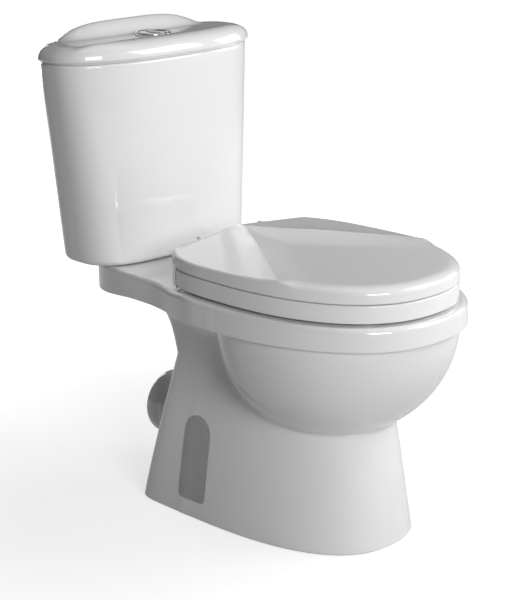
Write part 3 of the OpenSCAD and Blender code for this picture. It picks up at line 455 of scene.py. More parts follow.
def white_floor(near, far):
    """Wide plane at floor level. Where the camera or a reflection sees it, it also glows: by `near` round the
    object, which keeps the object's shadow, and by `far` from 1.3 m away, which makes the distance plain white."""
    x, y = 12 * np.array([-1, 1, 1, -1]), 12 * np.array([-1, -1, 1, 1])
    corners = np.stack([x, y, np.full(4, -0.0005)], -1)
    floor = mesh_object("floor", corners, np.array([[0, 1, 2, 3]]), np.empty((0, 3), int))
    material = bpy.data.materials.new("floor white")
    material.use_nodes = True
    tree = material.node_tree
    tree.nodes.clear()
    nodes = wired(tree, {"out": "OutputMaterial", "diffuse": "BsdfDiffuse", "glow": "Emission",
                         "both": "AddShader", "times": "Math operation=MULTIPLY", "place": "TexCoord",
                         "distance": "VectorMath operation=LENGTH",
                         "level": "MapRange interpolation_type=SMOOTHSTEP"},
                  {"diffuse.Color": (0.50, 0.495, 0.49, 1), "level.From Min": 0.35, "level.From Max": 1.3,
                   "level.To Min": near, "level.To Max": far},
                  ["place.Object > distance.0", "distance.Value > level.Value", "level.Result > times.1",
                   "times.0 > glow.Strength", "diffuse.0 > both.0", "glow.0 > both.1", "both.0 > out.Surface"])
    tree.links.new(share_of_sight(tree, 0.40), nodes["times"].inputs[0])
    floor.data.materials.append(material)
    floor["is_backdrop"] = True


white_floor(near=0.66, far=1.02)
print("materials with the floor's:", len(bpy.data.materials))


# %% World
def white_room(lighting):
    """White where the camera looks past the floor, and only `lighting` bright for every other ray."""
    world = bpy.data.worlds.new("studio")
    bpy.context.scene.world = world
    world.use_nodes = True
    nodes, link = world.node_tree.nodes, world.node_tree.links.new
    sky, level = nodes["Background"], nodes.new("ShaderNodeMapRange")
    link(share_of_sight(world.node_tree, 0.10), level.inputs["Value"])
    level.inputs["To Min"].default_value = lighting
    link(level.outputs["Result"], sky.inputs["Strength"])
    sky.inputs["Color"].default_value = (1, 1, 1, 1)


white_room(lighting=0.04)
print("world:", bpy.context.scene.world.name)


# %% Lamps
def soft_lamp(name, place_at, look_at, size, watts):
    """Square area lamp of the given side, turned towards a point."""
    data = bpy.data.lights.new(name, "AREA")
    data.shape, data.size, data.energy = "SQUARE", size, watts
    lamp = bpy.data.objects.new(name, data)
    lamp.location = place_at
    lamp.rotation_euler = (Vector(look_at) - Vector(place_at)).to_track_quat("-Z", "Y").to_euler()
    bpy.context.scene.collection.objects.link(lamp)


middle, seat_middle = (0, 0, 0.38), (0.05, -0.15, 0.40)
for name, place_at, look_at, size, watts in (("front left", (-1.2, -2.8, 1.6), middle, 1.3, 60),
                                             ("right", (2.9, -0.7, 1.2), middle, 1.3, 29),
                                             ("beside the seat", (0.9, -1.1, 1.35), seat_middle, 0.9, 13),
                                             ("overhead", (0.1, 0.0, 2.8), middle, 1.8, 7),
                                             ("behind", (0.6, 2.8, 0.8), middle, 1.3, 16)):
    soft_lamp(name, place_at, look_at, size, watts)

# %% [markdown]
# ## The pan
# The pan is one casting: a foot, a round bowl leaning out over it, a band round the rim, and a deck at the back.
# Cast clay has no sharp inner corners, so the skin is one surface that runs over all of them. It is worked out in
# directions seen from a point inside the bowl. In each direction a profile runs under the hollow foot, down its
# inner wall, round the foot, up the outside to the deck, over the rim and down into the bowl.

# %% Outlines of the pan
eye_y = nose_y + 0.310
heel, deck = math.atan2(0.185, 0.13), math.atan2(0.345, 0.125)
pan_directions = fan_of(352, [(heel, 0.10, 1.6), (math.pi - heel, 0.10, 1.6), (deck, 0.08, 1.2),
                              (math.pi - deck, 0.08, 1.2), (-math.pi / 2, 0.5, 0.3), (0, 0.15, 1.5),
                              (math.pi, 0.15, 1.5)])
ray = np.stack([np.cos(pan_directions), np.sin(pan_directions)], -1)
band_z = rim_top - 0.035
skirt_z = deck_top - 0.050
bowl_bottom = 0.155
china = 0.012                            # thickness of the wall
mouth_y = nose_y + 0.045 + 0.345 * 0.56  # widest line of the bowl's mouth
basin_y = wide_y - 0.045                 # widest line of the bowl's outside
basin_half, basin_front, basin_back = 0.177, 0.224, 0.151
ceiling_z = 0.333                        # hollow foot
foot_edge = 0.004                        # radius of the foot's lower edge


def rim_width_at(y):
    """Half width of the slab: the rim's full width, narrowing to the deck behind the bowl."""
    return 0.150 + (rim_half - 0.150) * (1 - ease(wide_y + 0.040, wide_y + 0.195, y))


def slab_top(y):
    """The rim's top, then a step down to the deck behind the seat."""
    return rim_top - (rim_top - deck_top) * ease(wide_y + 0.085, wide_y + 0.128, y)


def slab_low(y):
    """Lower edge of the band, dropping to the deck's deeper skirt in three slow steps."""
    fall = band_z - skirt_z
    return (band_z - 0.2 * fall * ease(wide_y - 0.230, wide_y + 0.010, y)
            - 0.3 * fall * ease(wide_y + 0.050, wide_y + 0.180, y)
            - 0.5 * fall * ease(wide_y + 0.220, wide_y + 0.355, y))


def slab_reach():
    """Distance from the eye to the edge of rim and deck."""
    s, c = np.sin(fine), np.cos(fine)
    n = np.where(s < 0, 2.3, 4.6)
    y = wide_y + np.where(s < 0, wide_y - nose_y, deck_back_y - wide_y) * signed_power(s, 2 / n)
    half = np.where(s < 0, rim_half, rim_width_at(y))
    return seen_from(eye_y, half * signed_power(c, 2 / n), y, pan_directions)


def foot_outline(z, inset):
    """The foot at height z: full at the floor, a waist at 250 mm, then a flare under the deck."""
    top = band_z - 0.004
    rise = min(1, z / 0.250) ** 1.1
    flare = max(0, (z - 0.250) / (top - 0.250))
    half = 0.146 - 0.040 * rise + (rim_half - 0.018 - 0.106) * flare ** 4 - inset
    front = 0.302 - 0.047 * z / top - inset
    back = 0.132 - 0.054 * rise + 0.042 * flare ** 1.2 - inset
    x, y = oval(half, front, back, 0.040, 2.5, 9 - 5 * flare ** 1.5, fine)
    return x * (1 - 0.2 * flare ** 4 * ease(0.020, 0.130, y)), y


def bowl_outline(z):
    """The bowl's outside at height z: a level slice of a rounded basin that ends at its bottom."""
    u = (band_z - z) / (band_z - bowl_bottom)
    side, back = math.sqrt(max(0, 1 - u * u)), max(0, 1 - u ** 2.6) ** (1 / 2.6)
    return oval(basin_half * side, basin_front * side, basin_back * back, basin_y, 2.15, 2, fine)


def table_over_height(outline, heights):
    """Reach of an outline in each direction at each height, with 0 where the eye is outside it."""
    reach = np.zeros((len(heights), len(pan_directions)))
    for i, z in enumerate(heights):
        x, y = outline(z)
        if y.max() > eye_y + 0.001 and x.max() > 0.001:
            reach[i] = seen_from(eye_y, x, y, pan_directions)
    return reach


heights = np.linspace(0, band_z - 0.0005, 236)
foot_reach = table_over_height(lambda z: foot_outline(min(z, band_z - 0.004), 0), heights)
inner_reach = table_over_height(lambda z: foot_outline(min(z, band_z - 0.004), china), heights)
bowl_reach = table_over_height(lambda z: bowl_outline(z) if z > bowl_bottom + 0.004 else (fine * 0, fine * 0),
                               heights)


def soft_max(a, b, k):
    """The larger of two, with a fillet about k wide where they cross: (a + b + sqrt((a - b)^2 + k^2)) / 2."""
    return (a + b + np.sqrt((a - b) ** 2 + k * k)) / 2


def at_height(reach, z):
    """The table of reaches read at one height per direction (any number of rows)."""
    f = np.clip(np.asarray(z) / heights[1], 0, len(heights) - 1.001)
    i = f.astype(int)
    column = np.arange(reach.shape[1])
    return reach[i, column] * (1 - (f - i)) + reach[i + 1, column] * (f - i)


outer_reach = soft_max(foot_reach, bowl_reach, (0.004 + 0.010 * ease(0.30, 0.35, heights))[:, None])
outer_reach[bowl_reach == 0] = foot_reach[bowl_reach == 0]
print("widest and narrowest reach of the outside:", outer_reach.max().round(3), outer_reach.min().round(3))


# %% Rows of the pan's skin
def ring_at(reach, z):
    """Points at a reach from the eye in each direction, at height z."""
    return np.column_stack([reach * ray[:, 0], eye_y + reach * ray[:, 1], z + 0 * reach])


def y_at(reach):
    """The Y of points at a reach from the eye."""
    return eye_y + reach * ray[:, 1]


def pan_rows():
    """All rows of the skin, from the middle of the hollow foot's ceiling to the bottom of the bowl."""
    edge = slab_reach()
    under_z = slab_low(y_at(at_height(outer_reach, np.full(len(ray), 0.338))))
    for _ in range(4):
        under_z = slab_low(y_at(at_height(outer_reach, under_z)))
    rows = []

    # ceiling of the hollow foot
    def ceiling(reach):
        """Height of the ceiling at a reach: level, with the underside of the bowl hanging into it."""
        x, y = reach * ray[:, 0], y_at(reach)
        off = np.hypot(x / basin_half, (y - basin_y) / np.where(y < basin_y, basin_front, basin_back))
        hang = band_z - (band_z - bowl_bottom) * np.sqrt(np.clip(1 - off ** 2, 0, 1))
        return ceiling_z - (soft_max(ceiling_z - hang, 0 * hang, 0.008) - 0.004)
    z = ceiling(at_height(inner_reach, np.full(len(ray), 0.300)))
    for _ in range(12):
        z = 0.5 * z + 0.5 * ceiling(at_height(inner_reach, z))
    reach = at_height(inner_reach, z)
    for k in np.linspace(0.04, 1, 18):
        rows.append(ring_at(k * reach, ceiling(k * reach)))
    for k in np.linspace(1, 0, 18)[1:]:
        level = foot_edge + (z - foot_edge) * k
        rows.append(ring_at(at_height(inner_reach, level), level))

    # round the foot
    foot, inner = foot_reach[0], inner_reach[0]
    rows += [ring_at(inner + 0.0015, 0.001), ring_at(inner + 0.004, 0), ring_at(foot - foot_edge, 0)]
    rows += [ring_at(foot - inset, up) for inset, up in rolled(3, foot_edge, foot_edge)]

    # up the outside, with a fillet into the underside of rim and deck
    room = edge - at_height(outer_reach, under_z)
    fillet = np.clip(0.45 * room, 0.002, 0.014)
    climb = [np.linspace(0, 0.5, 24), np.linspace(0.5, 0.88, 34)[1:], np.linspace(0.88, 1, 28)[1:]]
    for k in np.concatenate(climb):
        level = foot_edge + (under_z - fillet - foot_edge) * k
        rows.append(ring_at(at_height(outer_reach, level), level))
    wall = at_height(outer_reach, under_z)
    start = at_height(outer_reach, under_z - fillet)
    for t in np.linspace(0, 1, 9)[1:]:
        reach = (1 - t) ** 2 * start + 2 * t * (1 - t) * wall + t ** 2 * (wall + fillet)
        low = slab_low(y_at(reach))
        level = (1 - t) ** 2 * (under_z - fillet) + 2 * t * (1 - t) * under_z + t ** 2 * low
        rows.append(ring_at(reach, level))
    bevel = np.minimum(0.0014, 0.3 * room)
    for t in np.linspace(0, 1, 8)[1:]:
        reach = (wall + fillet) * (1 - t) + (edge - bevel) * t
        rows.append(ring_at(reach, slab_low(y_at(reach))))
    low = slab_low(y_at(edge))
    rows += [ring_at(edge - inset, low + up) for inset, up in rolled(4, bevel, bevel)]
    top = slab_top(y_at(edge))
    shoulder = 0.009
    rows += [ring_at(edge, low + bevel + (top - shoulder - low - bevel) * k) for k in np.linspace(0, 1, 8)]
    rows += [ring_at(edge - inset, top - drop) for drop, inset in rolled(7, shoulder, shoulder)]

    # over the rim and into the bowl
    def mouth(more):
        """Reach of the bowl's mouth, wider by more."""
        x, y = oval(0.142 + more, 0.1932 + more, 0.1518 + more, mouth_y, 2.15, 2.2, fine)
        return seen_from(eye_y, x, y, pan_directions)
    lip, lip_r = mouth(0), 0.008
    for t in np.linspace(0, 1, 26):
        reach = (edge - shoulder) * (1 - t) + (lip + lip_r) * t
        rows.append(ring_at(reach, slab_top(y_at(reach))))
    top = slab_top(y_at(lip))
    rows += [ring_at(lip + out, top - drop) for out, drop in rolled(5, lip_r, lip_r)]
    rows += [ring_at(lip, np.minimum(rim_top - drop, top - lip_r)) for drop in (0.010, 0.020, 0.029)]
    under = mouth(0.014)
    for t in np.linspace(0, 1, 7)[1:]:
        a = t * math.pi / 2
        rows.append(ring_at(lip + (under - lip) * math.sin(a), rim_top - 0.029 - 0.010 * (1 - math.cos(a))))
    rows.append(ring_at(under, rim_top - 0.044))
    full = ring_at(under, 0)
    floor_z, wall_top = 0.168, rim_top - 0.049
    for v in np.linspace(1, 0, 40)[:-1] ** 1.5:
        k = (1 - (1 - v) ** 2.2) ** (1 / 1.7)
        row = full * k + np.array([0, mouth_y, 0]) * (1 - k)
        row[:, 2] = floor_z + (wall_top - floor_z) * v
        rows.append(row)
    return rows


pan = lofted("pan_china", pan_rows())
print("pan before carving:", len(pan.data.polygons), "faces")

# %% [markdown]
# The trapway leaves the bottom of the bowl, dips, climbs over a weir inside the foot and comes out at the back as the
# round outlet. Its route is the CAD's, and the tube is a circle carried along a smoothed copy of it.

# %% Trapway
def smooth_route(points, steps):
    """Catmull-Rom curve through the points, with the same number of steps in each stretch."""
    p = np.asarray(points, float)
    p = np.vstack([2 * p[0] - p[1], p, 2 * p[-1] - p[-2]])
    t = np.linspace(0, 1, steps, endpoint=False)[:, None]
    parts = []
    for a, b, c, d in zip(p[:-3], p[1:-2], p[2:-1], p[3:]):
        square, cube = 2 * a - 5 * b + 4 * c - d, 3 * b - a - 3 * c + d
        parts.append(0.5 * (2 * b + (c - a) * t + square * t ** 2 + cube * t ** 3))
    return np.vstack(parts + [p[-2:-1]])


def tube_rows(route, radius, count=72):
    """Circles of a radius (one value or one per point) across a route in the plane x = 0."""
    d = np.gradient(route, axis=0)
    d /= np.linalg.norm(d, axis=1)[:, None]
    a = full_turn(count)
    r = np.broadcast_to(radius, len(route))[:, None]
    up = r * np.sin(a)
    return np.stack([-r * np.cos(a), route[:, :1] - up * d[:, 1:], route[:, 1:] + up * d[:, :1]], -1)


sump_y, sump_z = mouth_y, bowl_bottom + china + 0.012
weir = np.array([[0.190 + 0.044 * math.cos(math.radians(a)), -0.004 + 0.044 * math.sin(math.radians(a))]
                 for a in (160, 128, 96, 64, 32, 0)])
trap_route = np.vstack([[(-0.006, 0.032), (0.014, -0.018), (0.042, -0.048), (0.082, -0.056), (0.118, -0.034)],
                        weir, [(0.236, -0.050)]]) + [sump_y, sump_z]
route = smooth_route(trap_route, 7)
bore, wall = 0.030, 0.008
outside = tube_rows(route[14:], bore + wall)
inside = tube_rows(route[7:], bore)[::-1]
trap = lofted("pan_trapway", np.concatenate([outside, inside]), loop=True)
print("trapway, metres along its middle:", np.linalg.norm(np.diff(route, axis=0), axis=1).sum().round(3))


# %% Outlet spigot
def spigot_profile(root, clear, end):
    """Radius and place along Y: collar, tube with one wide groove, rounded mouth, bore."""
    profile = [(0.046, root), (0.059, root), (0.059, clear - 0.004), (0.0575, clear), (0.055, clear + 0.003)]
    profile += ribbed(0.055, 0.0014, clear + 0.008, 0.026, 1, 40)
    profile += [(0.055, end - 0.004), (0.0538, end - 0.001), (0.052, end), (0.048, end), (0.0465, end - 0.001),
                (0.046, end - 0.004)]
    return np.array(profile)


def round_along_y(name, profile, z, count=128):
    """Solid of revolution about the line x = 0, z, with its profile as (radius, y)."""
    a = full_turn(count)
    r, y = profile[:, 0][:, None], profile[:, 1][:, None]
    return lofted(name, np.stack([-r * np.cos(a), y + 0 * a, z + r * np.sin(a)], -1), loop=True)


outlet_end = wall_y - 0.103
outlet = round_along_y("pan_outlet", spigot_profile(sump_y + 0.206, outlet_end - 0.048, outlet_end), outlet_z)
for part in (trap, outlet):
    place(part, "pan")

# %% [markdown]
# The side pockets let a hand reach the floor screws. Each is an arch cut into the foot, over a ledge with its screw
# hole. The cutting tool widens a little towards the outside, as a core does that has to be drawn out of wet clay.

# %% Tools for carving the pan
pocket_back, pocket_half, pocket_top, ledge_z = 0.109, 0.033, 0.170, 0.028


def pocket_tool(side):
    """Arch pulled out through the foot's wall, a little wider outwards. Its back wall leans towards the front and
    up, and meets the sides in a round inner corner of 4 mm: inset r - r sin(t), distance r - r cos(t)."""
    corner, r = 0.009, 0.004
    half, top = pocket_half - 0.003, pocket_top - 0.004
    a = np.linspace(0, math.pi, 49)
    arch = [np.column_stack([half * np.cos(a), top - half + half * np.sin(a)])]
    arch += [np.column_stack([np.full(15, -half), np.linspace(top - half, ledge_z + corner, 16)[1:]])]
    a = np.linspace(math.pi, 2 * math.pi, 21)
    foot = np.column_stack([np.cos(a) * corner, ledge_z + corner + corner * np.sin(a)])
    foot[:, 0] += np.where(a < 1.5 * math.pi - 1e-6, -1, 1) * (half - corner)
    arch += [foot[1:], np.column_stack([np.full(14, half), np.linspace(ledge_z + corner, top - half, 16)[1:-1]])]
    arch = np.vstack(arch)
    along = np.roll(arch, -1, 0) - np.roll(arch, 1, 0)
    outward = np.column_stack([along[:, 1], -along[:, 0]]) / np.linalg.norm(along, axis=1)[:, None]
    rows = []
    for t in np.linspace(0, math.pi / 2, 8):
        flat = arch - outward * r * (1 - math.sin(t))
        back = pocket_back + 0.003 - side * 0.55 * flat[:, 0] - 0.10 * (flat[:, 1] - 0.100)
        back += r * (1 - math.cos(t))
        rows.append(np.column_stack([side * back, fixing_y - side * flat[:, 0], flat[:, 1]]))
    flat = arch + outward * 0.003 * np.where(outward[:, 1] < 0, 1 + outward[:, 1], 1)[:, None]
    rows.append(np.column_stack([np.full(len(flat), side * 0.20), fixing_y - side * flat[:, 0], flat[:, 1]]))
    return lofted("pocket tool", np.array(rows))


def pocket_lining(side):
    """Thick china behind and round the pocket, joined to the foot's wall before the pocket is cut."""
    inner = pocket_back - 0.022
    z = np.array([0.0006, pocket_top + china])
    reach = [foot_outline(h, 0.004)[0].max() for h in z]
    rows = []
    for level, far in zip(z, reach):
        x = side * np.array([inner, far, far, inner])
        y = fixing_y + (pocket_half + china) * np.array([-1, -1, 1, 1])
        rows.append(np.column_stack([x, y, np.full(4, level)])[:: side])
    return lofted("pocket lining", rows)


def recess_tool():
    """Space under the deck for the cistern's nuts, leaving a boss round the flush inlet."""
    x, y = oval(0.112, 0.057, 0.057, (deck_back_y + flush_y - 0.080) / 2 - 0.007, 3.2, 3.2, fine[::45])
    tool = lofted("recess tool", [np.column_stack([x, y, 0 * x + deck_top - down]) for down in (0.080, 0.014)])
    return carve(tool, [rod("boss", 0, flush_y, deck_top - 0.090, deck_top - 0.010, 0.058)])


carve(pan, [pocket_lining(s) for s in (-1, 1)], "UNION")
tools = [pocket_tool(s) for s in (-1, 1)] + [recess_tool()]
tools += [rod("flush hole", 0, flush_y, deck_top - 0.034, deck_top + 0.01, 0.028),
          rod("washer seat", 0, flush_y, deck_top - 0.020, deck_top + 0.01, 0.0465),
          block("rim channel", (-0.025, wide_y + 0.100, deck_top - 0.034), (0.025, flush_y, deck_top - 0.021))]
tools += [rod("bolt hole", s * bolt_x, flush_y, deck_top - 0.02, deck_top + 0.01, 0.007, 32) for s in (-1, 1)]
tools += [rod("screw hole", s * screw_x, fixing_y, -0.01, ledge_z + 0.01, 0.0055, 32) for s in (-1, 1)]
tools += [rod("hinge hole", s * hinge_x, hinge_y, 0.30, rim_top + 0.01, 0.0065, 32) for s in (-1, 1)]
tools += [lofted("throat tool", tube_rows(route[:22], bore))]
carve(pan, tools, edge=38)
place(pan, "pan")

# %% [markdown]
# ## The cistern
# A cistern is slip cast as a tapering tub: flat over its front, with full round ends, wider at the top. The rows run
# under its floor, round a soft lower edge, up the leaning sides, over the rim and down the inside.

# %% Cistern
tank_z, tank_top = tank_low.z, tank_high.z
tank_back = 0.072                        # from the cistern's widest line to the wall
tank_mid_y = wall_y - tank_back


def tank_outline(z, inset, count=256):
    """Cistern outline at height z: both its width and the fullness of its corners change steadily with height."""
    u = (z - tank_z) / (tank_top - tank_z)
    t = full_turn(count)
    half = 0.169 + (tank_high.x - tank_low.x - 0.338) / 2 * u
    x, y = oval(half - inset, 0.087 - 0.0025 * u - inset, tank_back - inset, tank_mid_y, 3 - 0.7 * u,
                2.8 + 0.6 * u, t)
    return np.column_stack([x, y, np.full(count, z)])


def shrunk(row, k, z):
    """The same outline drawn towards its own middle, at height z."""
    middle = row.mean(0)
    out = middle + k * (row - middle)
    out[:, 2] = z
    return out


def cistern_rows():
    """Rows of the tub: floor, rounded lower edge, side, rolled rim, inner wall, coved inner floor."""
    soft, lip, thick = 0.010, 0.004, 0.010
    first = tank_outline(tank_z, soft)
    rows = [shrunk(first, k, tank_z) for k in (0.1, 0.5, 0.8, 1)]
    rows += [tank_outline(tank_z + up, inset) for inset, up in rolled(7, soft, soft)]
    rows += [tank_outline(z, 0) for z in np.linspace(tank_z + soft, tank_top - lip, 22)]
    rows += [tank_outline(tank_top - drop, inset) for drop, inset in rolled(4, lip, lip)]
    rows += [tank_outline(tank_top, lip), tank_outline(tank_top, thick - 0.003)]
    rows += [tank_outline(tank_top - 0.001, thick - 0.001), tank_outline(tank_top - 0.004, thick)]
    rows += [tank_outline(z, thick) for z in np.linspace(tank_top - 0.010, tank_z + thick + 0.014, 14)]
    rows += [tank_outline(tank_z + thick + up, thick + inset) for up, inset in rolled(5, 0.012, 0.012)]
    last = tank_outline(tank_z + thick, thick + 0.013)
    rows += [last] + [shrunk(last, k, tank_z + thick) for k in (0.8, 0.5, 0.1)]
    return rows


cistern = lofted("cistern_china", cistern_rows())
holes = [rod("outlet hole", 0, flush_y, tank_z - 0.01, tank_z + 0.02, 0.0295)]
holes += [rod("bolt hole", s * bolt_x, flush_y, tank_z - 0.01, tank_z + 0.02, 0.006, 32) for s in (-1, 1)]
holes += [rod("inlet hole", 0.138, tank_mid_y, tank_z - 0.01, tank_z + 0.02, 0.0115, 32)]
carve(cistern, holes)
place(cistern, "cistern_tank")

# %% [markdown]
# ## The cistern lid
# The lid is a cap with a rolled edge. Its top is a height field over the outline: a full roll along the front, a
# shallow valley where the button sits, and a crest that rises along the back and dies away towards both ends. Its
# columns spread from the button's hole, so that the hole is simply the skin's inner edge.

# %% Lid
lid_z = lid_low.z
lid_half = (lid_high.x - lid_low.x) / 2
lid_bulge = 0.005                        # how far the lid's side swells out over its lower edge
lid_directions = fan_of(320, [])


def lid_height(x, y):
    """Height of the top above the lid's lower edge: roll, minus valley, plus crest times its fade to the ends."""
    fade = 1 - np.minimum(1, np.abs(x) / 0.1495) ** 4
    return (0.032 - 0.005 * ease(wall_y - 0.124, wall_y - 0.098, y)
            + 0.022 * ease(wall_y - 0.056, wall_y - 0.020, y) * fade)


def lid_reach(inset):
    """Distance from the button's middle line to the lid's outline drawn in by inset; the back stays at the wall."""
    x, y = oval(lid_half - lid_bulge - inset, 0.0845 - inset, tank_back - max(0, inset), tank_mid_y, 2.3, 3.4,
                fine)
    return seen_from(flush_y, x, y, lid_directions)


def lid_row(reach, share=None, z=None):
    """One row: at a share of the top's height, or level at z."""
    x, y = reach * np.cos(lid_directions), flush_y + reach * np.sin(lid_directions)
    level = lid_z + share * lid_height(x, y) if z is None else z + 0 * x
    return np.column_stack([x, y, level])


def lid_rows():
    """Closed loop: hole, underside, inner wall, lower edge, bulge, rolled edge, top, down to the button's seat."""
    valley = lid_z + 0.027
    ceiling = valley - 0.010
    hole, seat = 0.025, bezel_r + 0.0004
    rows = [lid_row(hole + 0 * lid_directions, z=z) for z in (valley - 0.001, ceiling + 0.001)]
    inner = lid_reach(0.034)
    rows += [lid_row(hole + 0.001 + (inner - hole - 0.001) * k, z=ceiling) for k in np.linspace(0, 1, 8)]
    rows += [lid_row(lid_reach(0.012 + inset), z=ceiling - drop) for inset, drop in rolled(8, 0.022, 0.012)]
    rows += [lid_row(lid_reach(0.012), z=z) for z in (lid_z + 0.004, lid_z + 0.001)]
    rows += [lid_row(lid_reach(0.011), z=lid_z), lid_row(lid_reach(0.004), z=lid_z)]
    rows += [lid_row(lid_reach(inset), z=lid_z + up) for inset, up in rolled(4, 0.003, 0.0025)]
    rows += [lid_row(lid_reach(-lid_bulge * k ** 0.7), share=0.07 + 0.13 * k) for k in (0.1, 0.3, 0.6, 1)]
    roll = 0.027                         # width of the rolled front edge
    for a in np.linspace(0, math.pi / 2, 22)[1:]:
        rows.append(lid_row(lid_reach(-lid_bulge + roll * (1 - math.cos(a))), share=0.2 + 0.8 * math.sin(a)))
    outer = lid_reach(-lid_bulge + roll)
    for k in np.linspace(1, 0, 44)[1:]:
        rows.append(lid_row(seat + 0.001 + (outer - seat - 0.001) * k, share=1))
    edge = lid_row(seat + 0 * lid_directions, share=1)
    edge[:, 2] -= 0.0006
    rows += [edge, lid_row(seat + 0 * lid_directions, z=valley), lid_row(hole + 0.001 + 0 * lid_directions, z=valley)]
    return rows


bezel_r = (button_high.x - button_low.x) / 2
lid = lofted("lid_china", lid_rows(), loop=True)
lid.data.set_sharp_from_angle(angle=math.radians(50))
place(lid, "cistern_lid")

# %% [markdown]
# ## The seat cover
# The cover is moulded with a shallow dish in front and two flatter facets behind, which rise to a peak between the
# hinges. A straight crease parts each facet from the dish. A crease stays sharp only where the mesh has an edge
# along it, so the columns of this skin all start from the peak: the two creases are then columns themselves.

# %% Sizes of the seat
seat_half, seat_back_y = cover_high.x, cover_high.y
seat_nose, seat_tail = wide_y - cover_low_corner.y, seat_back_y - wide_y
ring_top = ring_high.z - 0.002
cover_low = ring_top + 0.0015
cover_top = cover_low + 0.021
peak_y = seat_back_y - 0.054
crease_lean = 0.70                       # a crease moves this far sideways for each step forward
crease = math.atan2(-1, crease_lean)
skirt_y = seat_back_y - 0.064            # behind this line the cover comes down over the ring
print("seat:", round(2 * seat_half, 3), "wide,", round(seat_nose + seat_tail, 3), "long")


def snapped(directions, exact):
    """The same directions with the nearest one to each exact angle moved onto it."""
    out = directions.copy()
    for angle in exact:
        off = np.abs((out - angle + np.pi) % (2 * np.pi) - np.pi)
        out[np.argmin(off)] = angle % (2 * np.pi)
    return np.sort(out)


def skirt_turn(eye_y, y):
    """Directions from an eye point to the seat's outline where it passes height y on both sides."""
    x = seat_half * (1 - ((y - wide_y) / seat_tail) ** 3.2) ** (1 / 3.2)
    a = math.atan2(y - eye_y, x)
    return a, math.pi - a


def seat_reach(eye_y, inset, directions):
    """Distance from an eye point to the seat's outline drawn in by inset (one value or one per direction)."""
    inset = np.broadcast_to(inset, directions.shape)
    x, y = oval(seat_half, seat_nose, seat_tail, wide_y, 2.3, 3.2, fine)
    inner = oval(seat_half - 0.02, seat_nose - 0.02, seat_tail - 0.02, wide_y, 2.3, 3.2, fine)
    full, less = seen_from(eye_y, x, y, directions), seen_from(eye_y, *inner, directions)
    return full + (less - full) * inset / 0.02


# %% Height of the cover's top
def cover_rise(x, y):
    """Height above the cover's side. In front: a dish 3 mm deep. Behind: facets that fall from the peak to the
    sides. From a crease forward the facet fades into the dish with the square of the distance that is left."""
    r2 = (x / seat_half) ** 2 + ((y - wide_y) / np.where(y < wide_y, seat_nose, seat_tail)) ** 2
    dish = 0.0035 - 0.003 * (1 - r2)
    behind = np.maximum(0, y - peak_y - 0.007) * 1000
    facet = 0.014 - 0.1 * np.sqrt(x * x + 0.004 ** 2) - 0.016 * (y - peak_y) - 0.00002 * behind ** 1.75
    inside = (crease_lean * (peak_y - y) - np.abs(x)) / math.hypot(1, crease_lean)
    along = np.hypot(x, y - peak_y)
    facet += 0.0022 * np.exp(-np.maximum(0, -inside) / 0.016) * ease(0.03, 0.13, along)
    left = np.where(y > peak_y, 1, (1 - np.clip(inside / 0.060, 0, 1)) ** 2)
    return dish + (facet - dish) * left


def cover_rows():
    """Rows of the cover: underside, inner roll, inner wall, foot, side, outer roll, top."""
    d = cover_directions
    off = np.abs((d + np.pi / 2 + np.pi) % (2 * np.pi) - np.pi)      # angle away from straight ahead
    facet = ease(crease + math.pi / 2 - 0.10, crease + math.pi / 2, off)
    wide, tall, wall = 0.020 - 0.015 * facet, 0.012 - 0.008 * facet, 0.004

    def row(reach, lower):
        """A row that lies lower than the top by a constant or by one value per direction."""
        x, y = reach * np.cos(d), peak_y + reach * np.sin(d)
        return np.column_stack([x, y, cover_top + cover_rise(x, y) - lower])

    def side(inset, height):
        """A row on the outline drawn in by inset, with its height as a function of y."""
        reach = seat_reach(peak_y, inset, d)
        x, y = reach * np.cos(d), peak_y + reach * np.sin(d)
        return np.column_stack([x, y, height(y)])

    def foot(y):
        """Lower edge of the cover, which steps down behind the skirt line."""
        low = seat_z - 0.0055 + 0.0045 * ease(hinge_y - 0.012, hinge_y + 0.004, y)
        return cover_low - (cover_low - low) * ease(skirt_y, skirt_y + 0.0008, y)
    inner = seat_reach(peak_y, wide + 0.002, d)
    rows = [row(inner * k, wall) for k in np.concatenate([[0.02], np.linspace(0.08, 1, 22)])]
    for inset, drop in rolled(4, wide + 0.002 - wall, tall):
        rows.append(row(seat_reach(peak_y, wall + inset, d), wall + drop))
    edge = seat_reach(peak_y, 0, d)
    edge_z = cover_top + cover_rise(edge * np.cos(d), peak_y + edge * np.sin(d)) - tall
    for k in (0.0, 0.5, 1.0):
        rows.append(side(wall, lambda y: (edge_z - 0.004) * (1 - k) + (foot(y) + 0.0015) * k))
    for inset, up in ((0.0034, 0.0004), (0.0026, 0), (0.0014, 0), (0.0005, 0.0004)):
        rows.append(side(inset, lambda y: foot(y) + up))
    for k in np.linspace(0, 1, 9):
        rows.append(side(0, lambda y: (foot(y) + 0.0014) * (1 - k) + edge_z * k))
    rows += [row(seat_reach(peak_y, inset, d), drop) for drop, inset in rolled(9, tall, wide)]
    top = seat_reach(peak_y, wide, d)
    rows += [row(top * k, 0) for k in np.concatenate([np.linspace(1, 0.06, 56), [0.02]])]
    return rows


creases = (crease, math.pi - crease)
cover_directions = fan_of(400, [(a, 0.10, 2) for a in creases] + [(a, 0.05, 5) for a in skirt_turn(peak_y, skirt_y)])
cover_directions = snapped(cover_directions, creases)
cover = lofted("cover_shell", cover_rows())
slots = [block("hinge slot", (s * hinge_x - 0.0075, hinge_y + 0.005, seat_z - 0.01),
               (s * hinge_x + 0.0075, hinge_y + 0.035, hinge_z + 0.014)) for s in (-1, 1)]
carve(cover, slots, edge=45)
place(cover, "seat_cover")


